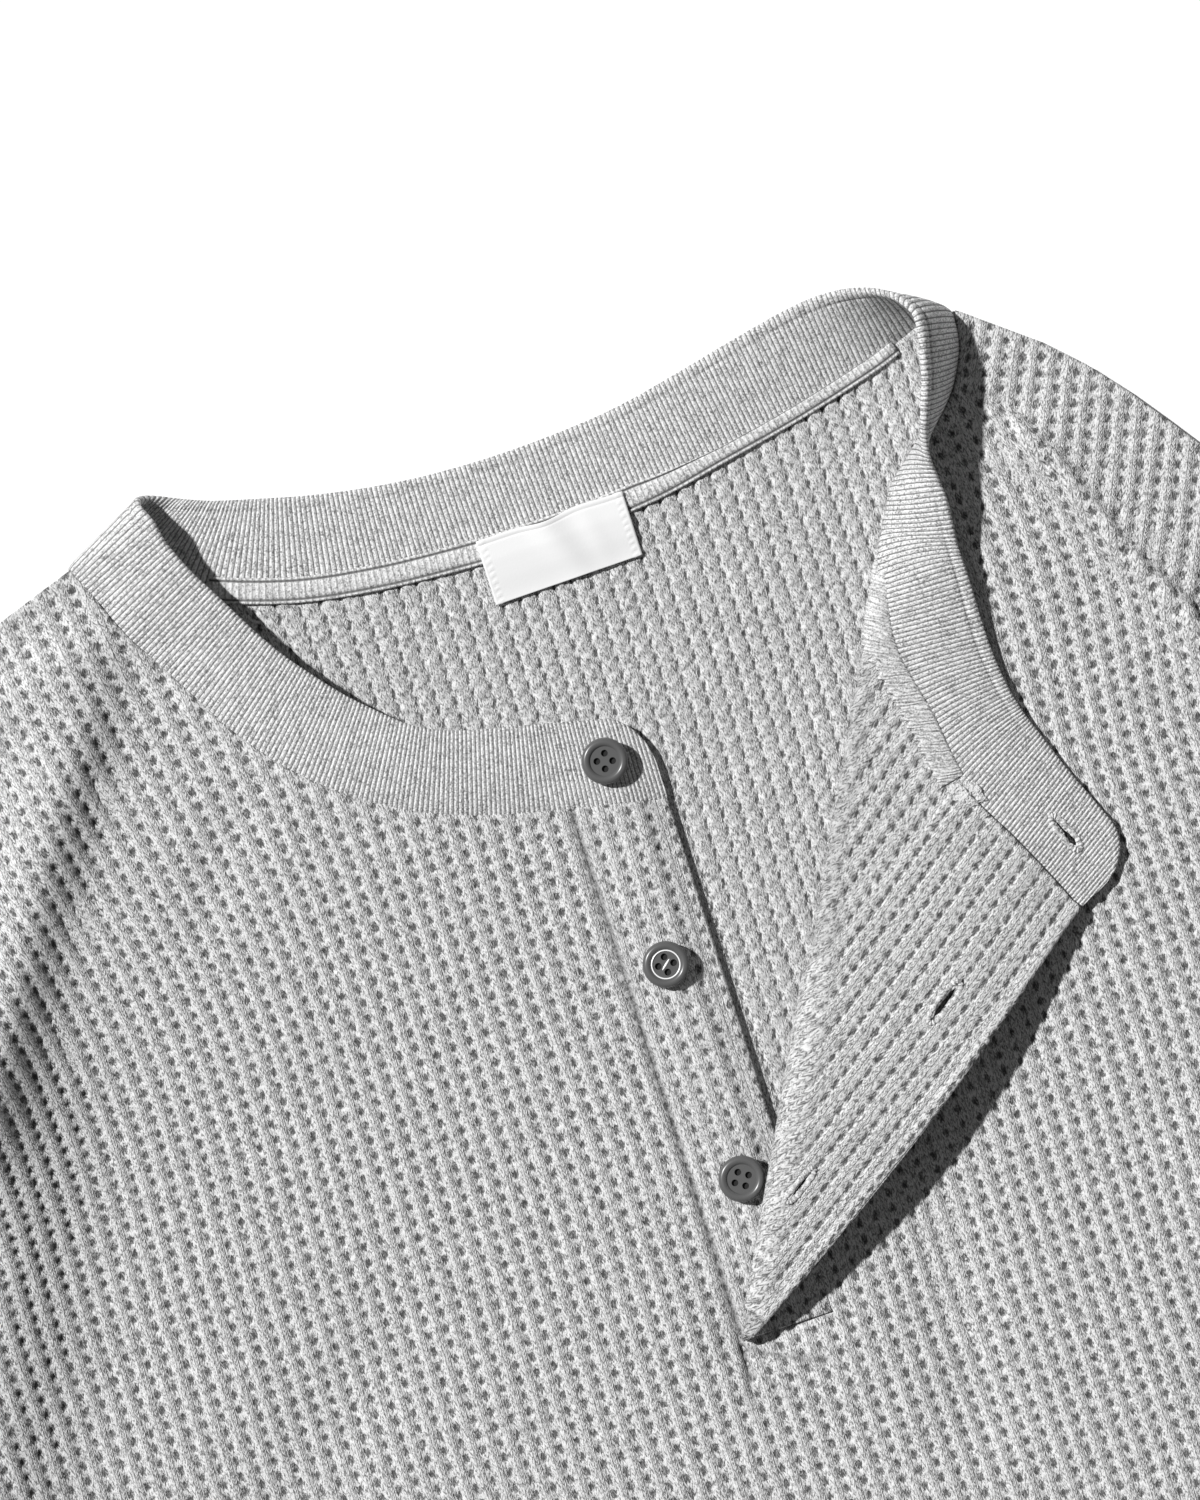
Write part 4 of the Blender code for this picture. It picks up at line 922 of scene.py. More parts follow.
def backOutline():
    neck = [tuple(r[:2]) for r in necks["back"]]
    parts = [
        fineRun([(-117.0, 88.6)] + neck + [(118.6, 86.2)] + smoothLine(leftShoulder), 1.4),
        fineRun(smoothLine(leftArmhole), 3.0),
        fineRun([leftArmhole[-1], hemLeft, hemRight, rightArmhole[-1]], 3.0, 12.0),
        fineRun(smoothLine(rightArmhole)[::-1], 3.0),
        fineRun(smoothLine(rightShoulder)[::-1], 1.4),
    ]
    return outlineOf(parts)[::-1]


def noZone(x, y):
    return np.zeros(len(x))


def keepPoints(points, keep):
    return tuple(a[keep] for a in points)


# front panel
facing = {"width": 46.0, "thick": 0.9, "over": 0.1}
overlock = {"width": 5.4, "from": 33.4, "to": 121.0, "over": 1.3, "step": 0.45, "loop": 2.1}


# well inside the area that the turned front covers
def underFlap(x, y):
    s, w = foldPlace(x, y)
    mx = x - 2 * w * foldAcross[0]
    my = y - 2 * w * foldAcross[1]
    return (w > 10.0) & (s > 12.0) & (mx > -4.0) & (my < neckHeight(necks["left"], mx) + 12.0)


def makeFront():
    loop = frontOutline()
    x, y, u, v = knitPoints((-215, 190, -260, 110), 5, 4)
    s, w = foldPlace(x, y)
    turned = (x > 0) & (y > layout["footY"]) & (s > 0) & (w < rollRadius(s))
    offRidge = distanceTo(ridgeLine, x, y) > 0.5
    keep = isNear(x, y) & ~turned & ~underFlap(x, y) & ~beyondRidge(x, y) & offRidge
    bodyPoints = shiftInside(loop, *keepPoints((x, y, u, v), keep), 0.55)
    x, y, u, v = knitPoints((100, 215, -120, 110), 5, 4, 1)
    keep = isNear(x, y) & beyondRidge(x, y) & (distanceTo(ridgeLine, x, y) > 0.5)
    patchPoints = shiftInside(loop, *keepPoints((x, y, u, v), keep), 0.55)
    gx, gy = coarseGrid(-280, 280, -600, 90, 11.0)
    s, w = foldPlace(gx, gy)
    far = ~isNear(gx, gy, 30.0) | (underFlap(gx, gy) & (w > rollRadius(s)))
    plain = shiftInside(loop, *keepPoints(withCells(gx, gy), far), 2.5)
    rolls = rollPoints(1.5)
    outer = joinPoints(bodyPoints, patchPoints, plain, shiftInside(loop, *rolls, 0.8))

    x, y, u, v = knitPoints((8, 110, -140, 60), 6, 5)
    s, w = foldPlace(x, y)
    keep = (s > 0) & (w < rollRadius(s) + 2.0) & (y > layout["footY"])
    flap = shiftInside(loop, *keepPoints((x, y, u, v), keep), 0.55)
    gx, gy = coarseGrid(-280, 280, -600, 90, 16.0)
    s, w = foldPlace(gx, gy)
    rest = ~((s > -5) & (w < rollRadius(s) + 4.0) & (gx > 0) & (gy > layout["footY"] - 5))
    inner = joinPoints(flap, shiftInside(loop, *keepPoints(withCells(gx, gy), rest), 2.5))
    return cloth("frontPanel", [waffleCloth, waffleWrong], [loop], liesFront, layout["waffle"], [
        (outer, reliefOutside, beyondRidge, ridgeStep),
        (inner, reliefTurned, noZone, None),
    ], seamShade), loop


def rollPoints(step):
    s, k = np.meshgrid(np.arange(30.0, 236.0, step * 2), np.linspace(-1.0, 0.8, 10))
    s, k = s.ravel(), k.ravel()
    w = rollRadius(s) * k
    x = foldFoot[0] + s * foldAlong[0] + w * foldAcross[0]
    y = foldFoot[1] + s * foldAlong[1] + w * foldAcross[1]
    return withCells(x, y)


def reliefOutside(u, v, x, y):
    return waffleFace(u, v)


def reliefPlacket(u, v, x, y):
    return 0.72 * waffleFace(u, v)


def reliefFacing(u, v, x, y):
    s, w = foldPlace(x, y)
    return placketFace(u, v) * (0.35 + 0.65 * ease((np.abs(w) - 1.5) / 3.0))


def reliefInside(u, v, x, y):
    return waffleInside(u, v)


# the turned front shows its inner face beyond the facing
def reliefTurned(u, v, x, y):
    fromSeam = distanceTo(np.asarray(necks["left"])[:, :2], x, y)
    flat = ease((fromSeam - overlock["width"] + 0.6) / 1.6)
    s, w = foldPlace(x, y)
    bare = np.maximum(ease((x - facing["width"] + layout["placketHalf"]) / 2.0), ease((w - 0.9) / 0.8))
    return waffleInside(u, v) * bare * flat - 0.35 * (1.0 - flat)


def reliefRoll(u, v, x, y):
    s, w = foldPlace(x, y)
    return waffleInside(u, v) * ease((w - 0.9) / 0.8)


seamLines = {
    "left": [(-12.6, -2.0), (-12.6, -150.0), (-13.6, -160.0), (-14.0, -166.0), (-17.0, -182.0)],
    "foot": [(-13.0, -159.7), (-6.0, -163.6), (0.3, -166.7), (8.0, -169.5)],
    "footLow": [(-12.9, -161.5), (-13.4, -166.1), (-8.3, -170.1)],
}


# the sewn edge of the placket, its run below the foot and the stitching across it
def seamGroove(x, y):
    down = ease((y + 184.0) / 16.0) * ease((-6.0 - y) / 3.0)
    side = 1.1 * hump(distanceTo(seamLines["left"], x, y), 0.8) * down
    low = hump(distanceTo(seamLines["foot"], x, y), 0.8)
    low = low + 0.6 * hump(distanceTo(seamLines["footLow"], x, y), 0.8)
    end = 0.45 * hump(layout["footY"] - 0.3 - y, 0.8)
    end = end * (np.abs(x) < layout["placketHalf"] + 0.5)
    near = (x > -24.0) & (x < 18.0) & (y > -190.0)
    return np.where(near, side + low + end, 0.0)


# a little shade on the turned front's roll
def rollShade(x, y, side):
    s, w = foldPlace(x, y)
    radius = rollRadius(s)
    return 0.22 * ease(1.6 - np.abs(w + 0.3 * radius) / radius) * (s > 0) * (side < 0)


def facingShade(x, y, side):
    return rollShade(x, y, side) * 0.4


# shade down in the placket's seam, and on the roll
def seamShade(x, y, side):
    if side < 0:
        return rollShade(x, y, side) * (x > 0)
    return np.clip(0.72 * (seamGroove(x, y) / 1.1) ** 2, 0.0, 0.75)


# the cloth rolls over along the shoulder's fold and starts lower beyond it
def ridgeStep(x, y):
    away = distanceTo(ridgeLine, x, y)
    beyond = beyondRidge(x, y)
    run = ease((y + 140.0) / 60.0) * ease((66.0 - y) / 14.0)
    before = 1.3 * hump(away - 3.0, 6.0) - 1.6 * hump(away, 1.2)
    lift = np.where(beyond, -1.1 * hump(away, 5.0), before)
    return lift * run - seamGroove(x, y)


front, frontLoop = makeFront()


def makeBack():
    loop = backOutline()
    x, y, u, v = knitPoints((-110, 125, -140, 85), 6, 5)
    s, w = foldPlace(x, y)
    edgeX, edgeY = zip(*sorted((r[2], r[3]) for r in rightCollar))
    seen = np.where(x < 13.0, y > np.interp(x, edgeX, edgeY) - 9.0, (w < 6.0))
    points = shiftInside(loop, *keepPoints((x, y, u, v), seen & (y > -125)), 0.55)
    gx, gy = coarseGrid(-280, 280, -600, 90, 26.0)
    s, w = foldPlace(gx, gy)
    rest = np.where(gx < 13.0, gy < np.interp(gx, edgeX, edgeY) - 16.0, w > 14.0) | (gy < -135)
    inner = joinPoints(points, shiftInside(loop, *keepPoints(withCells(gx, gy), rest), 6.0))
    outer = shiftInside(loop, *withCells(gx, gy), 6.0)
    # the face that shows is the inside, so it is the upper one here
    return cloth("backPanel", [waffleWrong, waffleCloth], [loop], liesBack, layout["waffle"], [
        (inner, reliefInside, noZone, None),
        (outer, None, noZone, None),
    ]), loop


back, backLoop = makeBack()


# how far the turned strip's free edge stands out from a straight one
def edgeBow(y):
    return layout["edgeBow"] * np.sin(np.pi * np.clip((y + 148.0) / 128.0, 0.0, 1.0))


def stripLoop(top, bow=0.0):
    half, foot = layout["placketHalf"], layout["footY"]
    free = [(x - bow * edgeBow(y), y) for x, y in denser([(-half, foot), top[0]], 1.1)]
    parts = [free, denser(top, 1.1), denser([top[-1], (half, foot)], 1.1),
             denser([(half, foot), (-half, foot)], 1.1)]
    return outlineOf(parts)[::-1]


def stripTop(rows):
    half = layout["placketHalf"]
    return [(x, float(neckHeight(rows, x))) for x in np.linspace(-half, half, 9)]


def slitLoop(x, y, long, wide):
    half, out = long / 2, wide / 2
    ring = [(0, -half), (out * 0.8, -half * 0.6), (out, 0), (out * 0.8, half * 0.6), (0, half),
            (-out * 0.8, half * 0.6), (-out, 0), (-out * 0.8, -half * 0.6)]
    return [(x + a, y + b) for a, b in ring]


def clearOf(holes, group, clear):
    for hole in holes:
        group = keepPoints(group, distanceTo(hole, group[0], group[1], closed=True) > clear)
        group = keepPoints(group, ~isInside(hole, group[0], group[1]))
    return group


# a folded edge: a soft roll outside a line of stitching
def foldedEdge(away):
    return 0.45 * hump(away - 1.3, 1.2) - 0.55 * hump(away - 3.1, 0.5)


# the strip's sewn edge on the one side, its folded edge on the other
def stripShape(x, y):
    seam = 1.1 * hump(x + layout["placketHalf"], 0.8)
    return foldedEdge(layout["placketHalf"] - x) - 0.3 * hump(x + 10.6, 0.5) - seam


def stripShade(x, y, side):
    return 0.6 * hump(x + layout["placketHalf"], 0.7) * (side > 0)


def makeStrips():
    loop = stripLoop(stripTop(necks["right"]))
    x, y, u, v = knitPoints((-13, 13, -158, 0), 6, 5)
    outer = shiftInside(loop, x, y, u, v, 0.5)
    inner = shiftInside(loop, *withCells(*coarseGrid(-12, 12, -156, -14, 6.0)), 2.0)
    under = cloth("buttonStrip", [stripCloth], [loop], liesButtonStrip, layout["strip"], [
        (outer, reliefPlacket, noZone, stripShape), (inner, None, noZone, None)], stripShade)
    loop = stripLoop(stripTop(necks["left"]), 1.0)
    holes = [slitLoop(*hole) for hole in layout["buttonholes"]]
    s, w = foldPlace(x, y)
    seenOut = (w > -rollRadius(s)) | (s < 4)
    seenIn = (w < rollRadius(s)) & (s > 0)
    outer = shiftInside(loop, *keepPoints((x, y, u, v), seenOut), 0.5)
    inner = shiftInside(loop, *keepPoints((x, y, u, v), seenIn), 0.5)
    gx, gy = coarseGrid(-12, 12, -156, -14, 4.0)
    s, w = foldPlace(gx, gy)
    far = keepPoints(withCells(gx, gy), w < -rollRadius(s) - 4)
    near = keepPoints(withCells(gx, gy), w > rollRadius(s) + 4)
    outer = joinPoints(outer, shiftInside(loop, *far, 2.0))
    inner = joinPoints(inner, shiftInside(loop, *near, 2.0))
    outer, inner = clearOf(holes, outer, 0.6), clearOf(holes, inner, 0.6)
    layers = [(outer, reliefOutside, noZone, None), (inner, reliefRoll, noZone, None)]
    over = cloth("buttonholeStrip", [waffleCloth, waffleWrong], [loop] + holes, liesButtonholeStrip,
                 layout["strip"], layers, rollShade)
    return under, over, holes


buttonStrip, buttonholeStrip, slits = makeStrips()


def liesFacing(x, y):
    middle, out = liesLeft(x, y), outOf(liesLeft, x, y)
    return middle - out * (layout["strip"] / 2 + facing["over"] + facing["thick"] / 2)


def facingShape(x, y):
    return foldedEdge(x + layout["placketHalf"] + edgeBow(y))


# the strip's facing covers the seam inside; it shows only where the front is turned
def makeFacing():
    edge = layout["placketHalf"]
    far = facing["width"] - edge
    s = np.arange(8.0, 96.6, 1.2)
    line = [tuple(foldFoot + d * foldAlong + 0.5 * foldAcross) for d in s]
    top = [(x, float(neckHeight(necks["left"], x)) - 0.3) for x in np.linspace(far, -edge, 30)]
    free = [(x - edgeBow(y), y) for x, y in denser([top[-1], (-edge, -150.0)], 1.2)]
    loop = outlineOf([line, denser([line[-1], (far, top[0][1])], 1.2), top, free])
    x, y, u, v = knitPoints((-15, 36, -152, 2), 6, 5)
    shown = shiftInside(loop, x, y, u, v, 0.5)
    plain = shiftInside(loop, *withCells(*coarseGrid(-12, 34, -150, 0, 3.0)), 1.5)
    shown = clearOf(slits, shown, 0.6)
    plain = clearOf(slits, plain, 1.0)
    return cloth("placketFacing", [placketCloth], [loop] + slits, liesFacing, facing["thick"], [
        (plain, None, noZone, None), (shown, reliefFacing, noZone, facingShape)], facingShade), loop


placketFacing, facingPlan = makeFacing()

# collar
collar = {
    "width": 24.0,
    "sectionStep": 1.5,
    "endLong": 11.0,  # the round corner at each end, along the collar and across it
    "endDeep": 15.0,
    # rib pitch along it
    "pitches": [(0.0, 1.15), (90.0, 1.25), (200.0, 1.4), (380.0, 1.4), (470.0, 1.3), (560.0, 1.0)],
    # how far the ribs lean on the turned front, by distance from its end
    "leans": [(0.0, 0.06), (30.0, 0.16), (70.0, 0.30), (100.0, 0.26), (130.0, 0.12), (160.0, 0.0)],
    # depth of the groove beside the edge, by share of the length
    "grooves": [(0.12, 0.05), (0.20, 0.55), (0.32, 0.55), (0.38, 0.2), (0.66, 0.3), (0.74, 0.62),
                (0.88, 0.62), (0.93, 0.05)],
    "hole": {"start": (108.4, -51.2), "end": (111.8, -59.2), "wide": 1.8, "narrow": 0.45},
}


def planNormal(line, k):
    before, after = line[max(k - 1, 0)], line[min(k + 1, len(line) - 1)]
    run = unitRows(np.asarray(after[:2], float) - np.asarray(before[:2], float))
    return np.array([-run[1], run[0]])


def pointOf(lies, x, y):
    return lies(np.array([x]), np.array([y]))[0]


def seamStart(lies, row, line, k, outward):
    x, y = row[:2]
    out = planNormal(line, k) * outward
    edgePoint = pointOf(lies, x, y)
    leave = unitRows(pointOf(lies, x + out[0] * 0.5, y + out[1] * 0.5) - edgePoint)
    toEdge = unitRows(np.array(row[2:5]) - edgePoint)
    lean = math.sqrt(max(0.0, 1.0 - float(leave @ toEdge) ** 2))
    return edgePoint + leave * (layout["gap"] + 0.1 + layout["rib"] / 2 * lean)


def collarRows():
    rows = []
    for k, row in enumerate(necks["right"]):
        lies = liesButtonStrip if row[0] > -layout["placketHalf"] else liesFront
        rows.append((*seamStart(lies, row, necks["right"], k, -1.0), *row[2:5], row[5]))
    rows += [tuple(r) for r in spacedRows(rightTurn, [3, 4, 5], 3.0)]
    for k, row in enumerate(necks["back"]):
        rows.append((*seamStart(liesBack, row, necks["back"], k, 1.0), *row[2:5], row[5]))
    rows += leftTurn
    for k, row in enumerate(necks["left"]):
        lies = liesButtonholeStrip if row[0] < layout["placketHalf"] else liesFront
        rows.append((*seamStart(lies, row, necks["left"], k, -1.0), *row[2:5], row[5]))
    return np.array(rows)


def makeCollar():
    rows = collarRows()
    distances = lengthAlong((rows[:, :3] + rows[:, 3:6]) / 2)
    length = distances[-1]
    wanted = np.linspace(0.0, length, int(length / collar["sectionStep"]))
    ends = np.array([0.25, 0.6, 1.1])
    wanted = np.sort(np.concatenate([wanted, ends, length - ends]))
    seams = smoothRows(rows[:, :3], distances, wanted)
    edges = smoothRows(rows[:, 3:6], distances, wanted)
    bulges = np.interp(wanted, distances, rows[:, 6])
    toEnd = np.minimum(wanted, length - wanted)
    near = np.clip(1.0 - toEnd / collar["endLong"], 0.0, 1.0)
    share = 1.0 - collar["endDeep"] * (1.0 - np.sqrt(1.0 - near**2)) / collar["width"]
    across = unitRows(edges - seams)
    run = unitRows(np.gradient(seams, axis=0) + np.gradient(edges, axis=0))
    up = unitRows(np.cross(run, across))
    grooveRows = 1.0 - np.array([2.1, 2.5, 3.4]) / collar["width"]
    vs = np.sort(np.concatenate([[-0.042], np.linspace(0.0, 1.0, 17), grooveRows]))
    # thickness over the width: a flat double layer with a rolled edge beyond a stitched groove
    fromEdge = (1.0 - vs) * collar["width"]
    plainHalf = layout["rib"] / 2 * (1.0 + 0.12 * hump(fromEdge - 1.2, 1.2))
    plainHalf[:2] *= (0.55, 0.85)  # tucked into the seam
    stitched = layout["rib"] / 2 * hump(fromEdge - 2.5, 0.40)
    stitchDeep = alongTable(collar["grooves"], wanted / length)
    noseSteps = np.radians([50.0, 20.0, -20.0, -50.0])[:, None]
    sections = []
    for i in range(len(wanted)):
        half = plainHalf - stitched * stitchDeep[i]
        v = vs[:, None]
        line = seams[i] + (edges[i] - seams[i]) * v * share[i] + up[i] * bulges[i] * 4.0 * v * (1.0 - v)
        tangent = unitRows(np.gradient(line, axis=0))
        out = unitRows(np.cross(run[i], tangent))
        nose = np.sin(noseSteps) * out[-1] + np.cos(noseSteps) * tangent[-1] * 0.9
        wall = out * half[:, None]
        sections.append(np.concatenate([line + wall, line[-1] + nose * half[-1], (line - wall)[::-1]]))
    sections = np.array(sections)
    count, ring = sections.shape[:2]
    reach = vs * collar["width"]
    girth = np.concatenate([reach, np.full(4, collar["width"] + 1.0), reach[::-1]])
    pitch = alongTable(collar["pitches"], wanted / length * collar["pitches"][-1][0])
    ribs = np.concatenate([[0.0], np.cumsum(np.diff(wanted) * 2.0 / (pitch[1:] + pitch[:-1]))])
    lean = alongTable(collar["leans"], length - wanted) / pitch
    uv = np.stack([(ribs[:, None] + lean[:, None] * girth).ravel(), np.tile(girth / 0.9, count)], 1)
    obj = finishMesh("ribCollar", sections.reshape(-1, 3), tubeFaces(count, ring), ribCloth, uv)
    print("collar", len(obj.data.polygons), "faces, length", round(length))
    return obj, length


collarBand, collarLength = makeCollar()


# looped yarn over the collar's seam, on the inner face that the turned front shows
def makeOverlock():
    rows = np.array([r for r in necks["left"] if overlock["from"] - 4.0 < r[0] < overlock["to"] + 4.0])
    distances = lengthAlong(rows[:, :2])
    wanted = np.arange(0.0, distances[-1], overlock["step"])
    rows = smoothRows(rows, distances, wanted)
    keep = (rows[:, 0] > overlock["from"]) & (rows[:, 0] < overlock["to"])
    rows, wanted = rows[keep], wanted[keep]
    insets = np.array([0.3, 1.0, 1.8, 2.6, 3.4, 4.2, 4.8, overlock["width"]])
    points, uv = [], []
    for k, row in enumerate(rows):
        along = wanted[k]
        inward = planNormal(rows, k)
        start = seamStart(liesFront, row, rows, k, -1.0)
        toEdge = unitRows(row[2:5] - start)
        run = unitRows(rows[min(k + 1, len(rows) - 1), 2:5] - rows[max(k - 1, 0), 2:5])
        collarUp = unitRows(np.cross(run, toEdge))
        seen = outOf(liesFront, row[:1] + inward[0], row[1:2] + inward[1])[0]
        if collarUp @ seen < 0:
            collarUp = -collarUp
        turn = 2 * math.pi * along / overlock["loop"]
        scallop = 1.0 + 0.10 * math.sin(turn) + 0.05 * math.sin(along * 1.7)
        high, low, tags = [], [], []
        fade = min(1.0, k / 4.0, (len(rows) - 1 - k) / 4.0)
        for inset in (overlock["over"], overlock["over"] * 0.4):
            base = start + toEdge * inset - collarUp * layout["rib"] / 2
            loop = 0.5 + 0.5 * math.cos(turn - 2 * math.pi * inset * 0.2)
            rise = (0.28 * loop + 0.1) * (1.0 - inset / overlock["over"] * 0.7) * fade
            high.append(base - collarUp * (0.12 + rise))
            low.append(base - collarUp * 0.05)
            tags.append(-inset)
        for inset in insets:
            x, y = row[0] + inward[0] * inset * scallop, row[1] + inward[1] * inset * scallop
            at = np.array([x]), np.array([y])
            out = outOf(liesFront, *at)[0]
            base = liesFront(*at)[0] - out * (layout["waffle"] / 2)
            share = inset / overlock["width"]
            dome = math.sqrt(max(0.0, 1.0 - share**6))
            drift = inset * 0.22 + 0.12 * math.sin(along * 0.8)
            loop = 0.5 + 0.5 * math.cos(turn + 2 * math.pi * drift)
            loop *= 0.7 + 0.3 * math.sin(along * 2.3 + inset * 1.9)
            high.append(base - out * (0.12 + (0.30 + 0.42 * loop) * dome * fade))
            low.append(base - out * 0.04)
            tags.append(inset * scallop)
        points.append(high + low[::-1])
        slip = along / 1.15 + 0.30 * math.sin(along * 0.83) + 0.16 * math.sin(along * 2.1 + 1.0)
        uv += [(slip + t * 0.50, t) for t in tags + tags[::-1]]
    polygons = tubeFaces(len(points), len(points[0]), turned=True)
    points = np.array(points).reshape(-1, 3)
    return outwards(finishMesh("collarSeamYarn", points, polygons, seamYarn, np.array(uv)))


# turns a closed mesh inside out if its faces point inwards
def outwards(obj):
    bpy.ops.object.select_all(action="DESELECT")
    bpy.context.view_layer.objects.active = obj
    obj.select_set(True)
    bpy.ops.object.mode_set(mode="EDIT")
    bpy.ops.mesh.select_all(action="SELECT")
    bpy.ops.mesh.normals_make_consistent(inside=False)
    bpy.ops.object.mode_set(mode="OBJECT")
    bpy.ops.object.select_all(action="DESELECT")
    return obj


# finds the piece's upper surface over a plan point, and the way out there
def topOf(obj):
    mesh = obj.data
    places = [v.co[:] for v in mesh.vertices]
    tree = BVHTree.FromPolygons(places, [tuple(p.vertices) for p in mesh.polygons])

    def drop(x, y):
        at = placeOf((x, y, 60.0))
        place, out, _, _ = tree.ray_cast(Vector(at), Vector((0.0, 0.0, -1.0)))
        if place is None:
            return np.array([x, y, -100.0]), np.array([0.0, 0.0, 1.0])
        height = place[2] * 1000.0
        return np.array([x, y, height]), np.array(out[:])

    return drop


# a slit's plan: narrow over its first part, open over the rest
def slitOutline(start, end, wide, narrow):
    start, end = np.array(start), np.array(end)
    along = end - start
    out = np.array([-along[1], along[0]]) / np.linalg.norm(along)
    shares = [(0.0, 0.0), (0.15, narrow), (0.42, narrow), (0.6, wide * 0.8), (0.78, wide),
              (0.92, wide * 0.7), (1.0, 0.0)]
    one = [start + along * k + out * w / 2 for k, w in shares]
    other = [start + along * k - out * w / 2 for k, w in shares[1:-1]]
    return one + other[::-1]


# a closed path round a slit, away from it, as plan points
def ringPath(start, end, away, steps=34):
    start, end = np.array(start), np.array(end)
    half = np.linalg.norm(end - start) / 2
    along = (end - start) / (2 * half)
    out = np.array([-along[1], along[0]])
    path = []
    for k in range(steps):
        turn = 2 * math.pi * k / steps
        lengthwise = math.copysign(abs(math.cos(turn)) ** 0.6, math.cos(turn)) * (half + away)
        path.append((start + end) / 2 + along * lengthwise + out * math.sin(turn) * away)
    return path


# whipped thread: a closed cord that swells with every stitch
def makeRing(name, path, ups, radius, material):
    path, ups = np.array(path), np.array(ups)
    tangents = unitRows(np.roll(path, -1, axis=0) - np.roll(path, 1, axis=0))
    sides = np.cross(tangents, ups)
    turns = np.radians(np.arange(0, 360, 45))
    count, ring = len(path), len(turns)
    points, uv, polygons = [], [], []
    for i in range(count):
        size = radius * (1.0 + 0.22 * (-1.0) ** i)
        a, b = i * ring, (i + 1) % count * ring
        for k, turn in enumerate(turns):
            n = (k + 1) % ring
            lift = ups[i] * math.sin(turn) * 0.7 + sides[i] * math.cos(turn) * 1.5
            points.append(path[i] + lift * size)
            uv.append((i * 0.5, k * 0.4))
            polygons.append((a + k, a + n, b + n, b + k))
    return outwards(finishMesh(name, points, polygons, material, np.array(uv)))


# a union with the tool, or the piece without it; the tool is used up
def combine(obj, tool, operation, name):
    change = obj.modifiers.new(name, "BOOLEAN")
    change.operation = operation
    change.solver = "EXACT"
    change.object = tool
    bpy.ops.object.select_all(action="DESELECT")
    bpy.context.view_layer.objects.active = obj
    bpy.ops.object.modifier_apply(modifier=name)
    bpy.data.objects.remove(tool)


# cuts an upright hole of the given plan
def cutThrough(obj, plan, name):
    count = len(plan)
    points = [(*p, z) for z in (0.0, 40.0) for p in plan]
    polygons = [tuple(range(count)), tuple(range(2 * count - 1, count - 1, -1))]
    polygons += [(k, k + count, (k + 1) % count + count, (k + 1) % count) for k in range(count)]
    combine(obj, outwards(finishMesh(name, points, polygons, ribCloth)), "DIFFERENCE", name)


def makeCollarHole():
    hole = collar["hole"]
    drop = topOf(collarBand)
    found = [drop(*p) for p in ringPath(hole["start"], hole["end"], 1.45)]
    path = [place + out * 0.06 for place, out in found]
    ring = makeRing("collarHoleStitches", path, [out for _, out in found], 0.50, seamYarn)
    plan = slitOutline(hole["start"], hole["end"], hole["wide"], hole["narrow"])
    cutThrough(collarBand, plan, "collarHole")
    return ring


def makeFacingStitches(k):
    x, y, long, wide = layout["buttonholes"][k]
    plan = np.array(ringPath((x, y - long / 2), (x, y + long / 2), wide / 2 + 0.75))
    out = outOf(liesFacing, plan[:, 0], plan[:, 1])
    path = liesFacing(plan[:, 0], plan[:, 1]) - out * (facing["thick"] / 2 + 0.12)
    return makeRing(f"holeStitches{k + 1}", path, -out, 0.45, seamYarn)


seamLoops = makeOverlock()
collarRing = makeCollarHole()
holeRings = [makeFacingStitches(k) for k in range(2)]


# the facing's puckered corner beside the collar
def makeCorner():
    at = {"x": 88.4, "y": -37.1, "long": 5.0, "wide": 3.1, "high": 0.8, "turn": math.radians(-35.0)}
    drops = [topOf(placketFacing), topOf(collarBand), topOf(seamLoops)]
    bpy.ops.mesh.primitive_uv_sphere_add(segments=32, ring_count=16, radius=1.0)
    obj = bpy.context.object
    obj.name = obj.data.name = "facingCorner"
    c, s = math.cos(at["turn"]), math.sin(at["turn"])
    for vertex in obj.data.vertices:
        x, y, z = vertex.co
        swell = 1.0 + 0.16 * math.sin(x * 7.0 + 1.0) * math.cos(y * 5.0)
        swell += 0.08 * math.sin(x * 15.0 + y * 11.0)
        x, y = x * at["long"] * swell, y * at["wide"] * swell
        x, y = at["x"] + c * x - s * y, at["y"] + s * x + c * y
        level = -100.0
        for reach in (0.0, 0.4, 0.8, 1.6, 3.2):  # looks further out over a gap between the pieces
            if level < 0.0:
                around = [(x + reach, y), (x - reach, y), (x, y + reach), (x, y - reach)]
                level = max(drop(*spot)[0][2] for drop in drops for spot in around)
        vertex.co = placeOf((x, y, level + 0.1 + max(z, -0.25) * at["high"] * swell))
    obj.data.materials.append(puckeredCloth)
    obj.data.shade_smooth()
    bpy.ops.object.select_all(action="DESELECT")
    return obj


facingCorner = makeCorner()

# sleeves
sleeves = {
    "rightSleeve": {"node": "sleeve_right", "armhole": rightArmhole,
                    "cuff": [(-676.0, -361.0), (-618.0, -432.0)]},
    "leftSleeve": {"node": "sleeve_left", "armhole": leftArmhole,
                   "cuff": [(588.0, -470.0), (516.0, -527.0)]},
}
sleeveShape = {"bow": 12.0, "edge": 2.5, "puff": 2.4, "sections": 110, "across": 26}
# place along, place across at the top edge and at the underarm, half length, height
sleeveCreases = [
    (0.10, 0.15, 1.0, 0.055, 2.2),
    (0.22, 0.45, 1.0, 0.045, 2.8),
    (0.36, 0.0, 0.55, 0.040, 2.0),
    (0.47, 0.35, 1.0, 0.045, 3.0),
    (0.56, 0.0, 0.70, 0.040, 2.2),
    (0.68, 0.40, 1.0, 0.040, 2.0),
    (0.82, 0.0, 0.60, 0.035, 1.5),
]


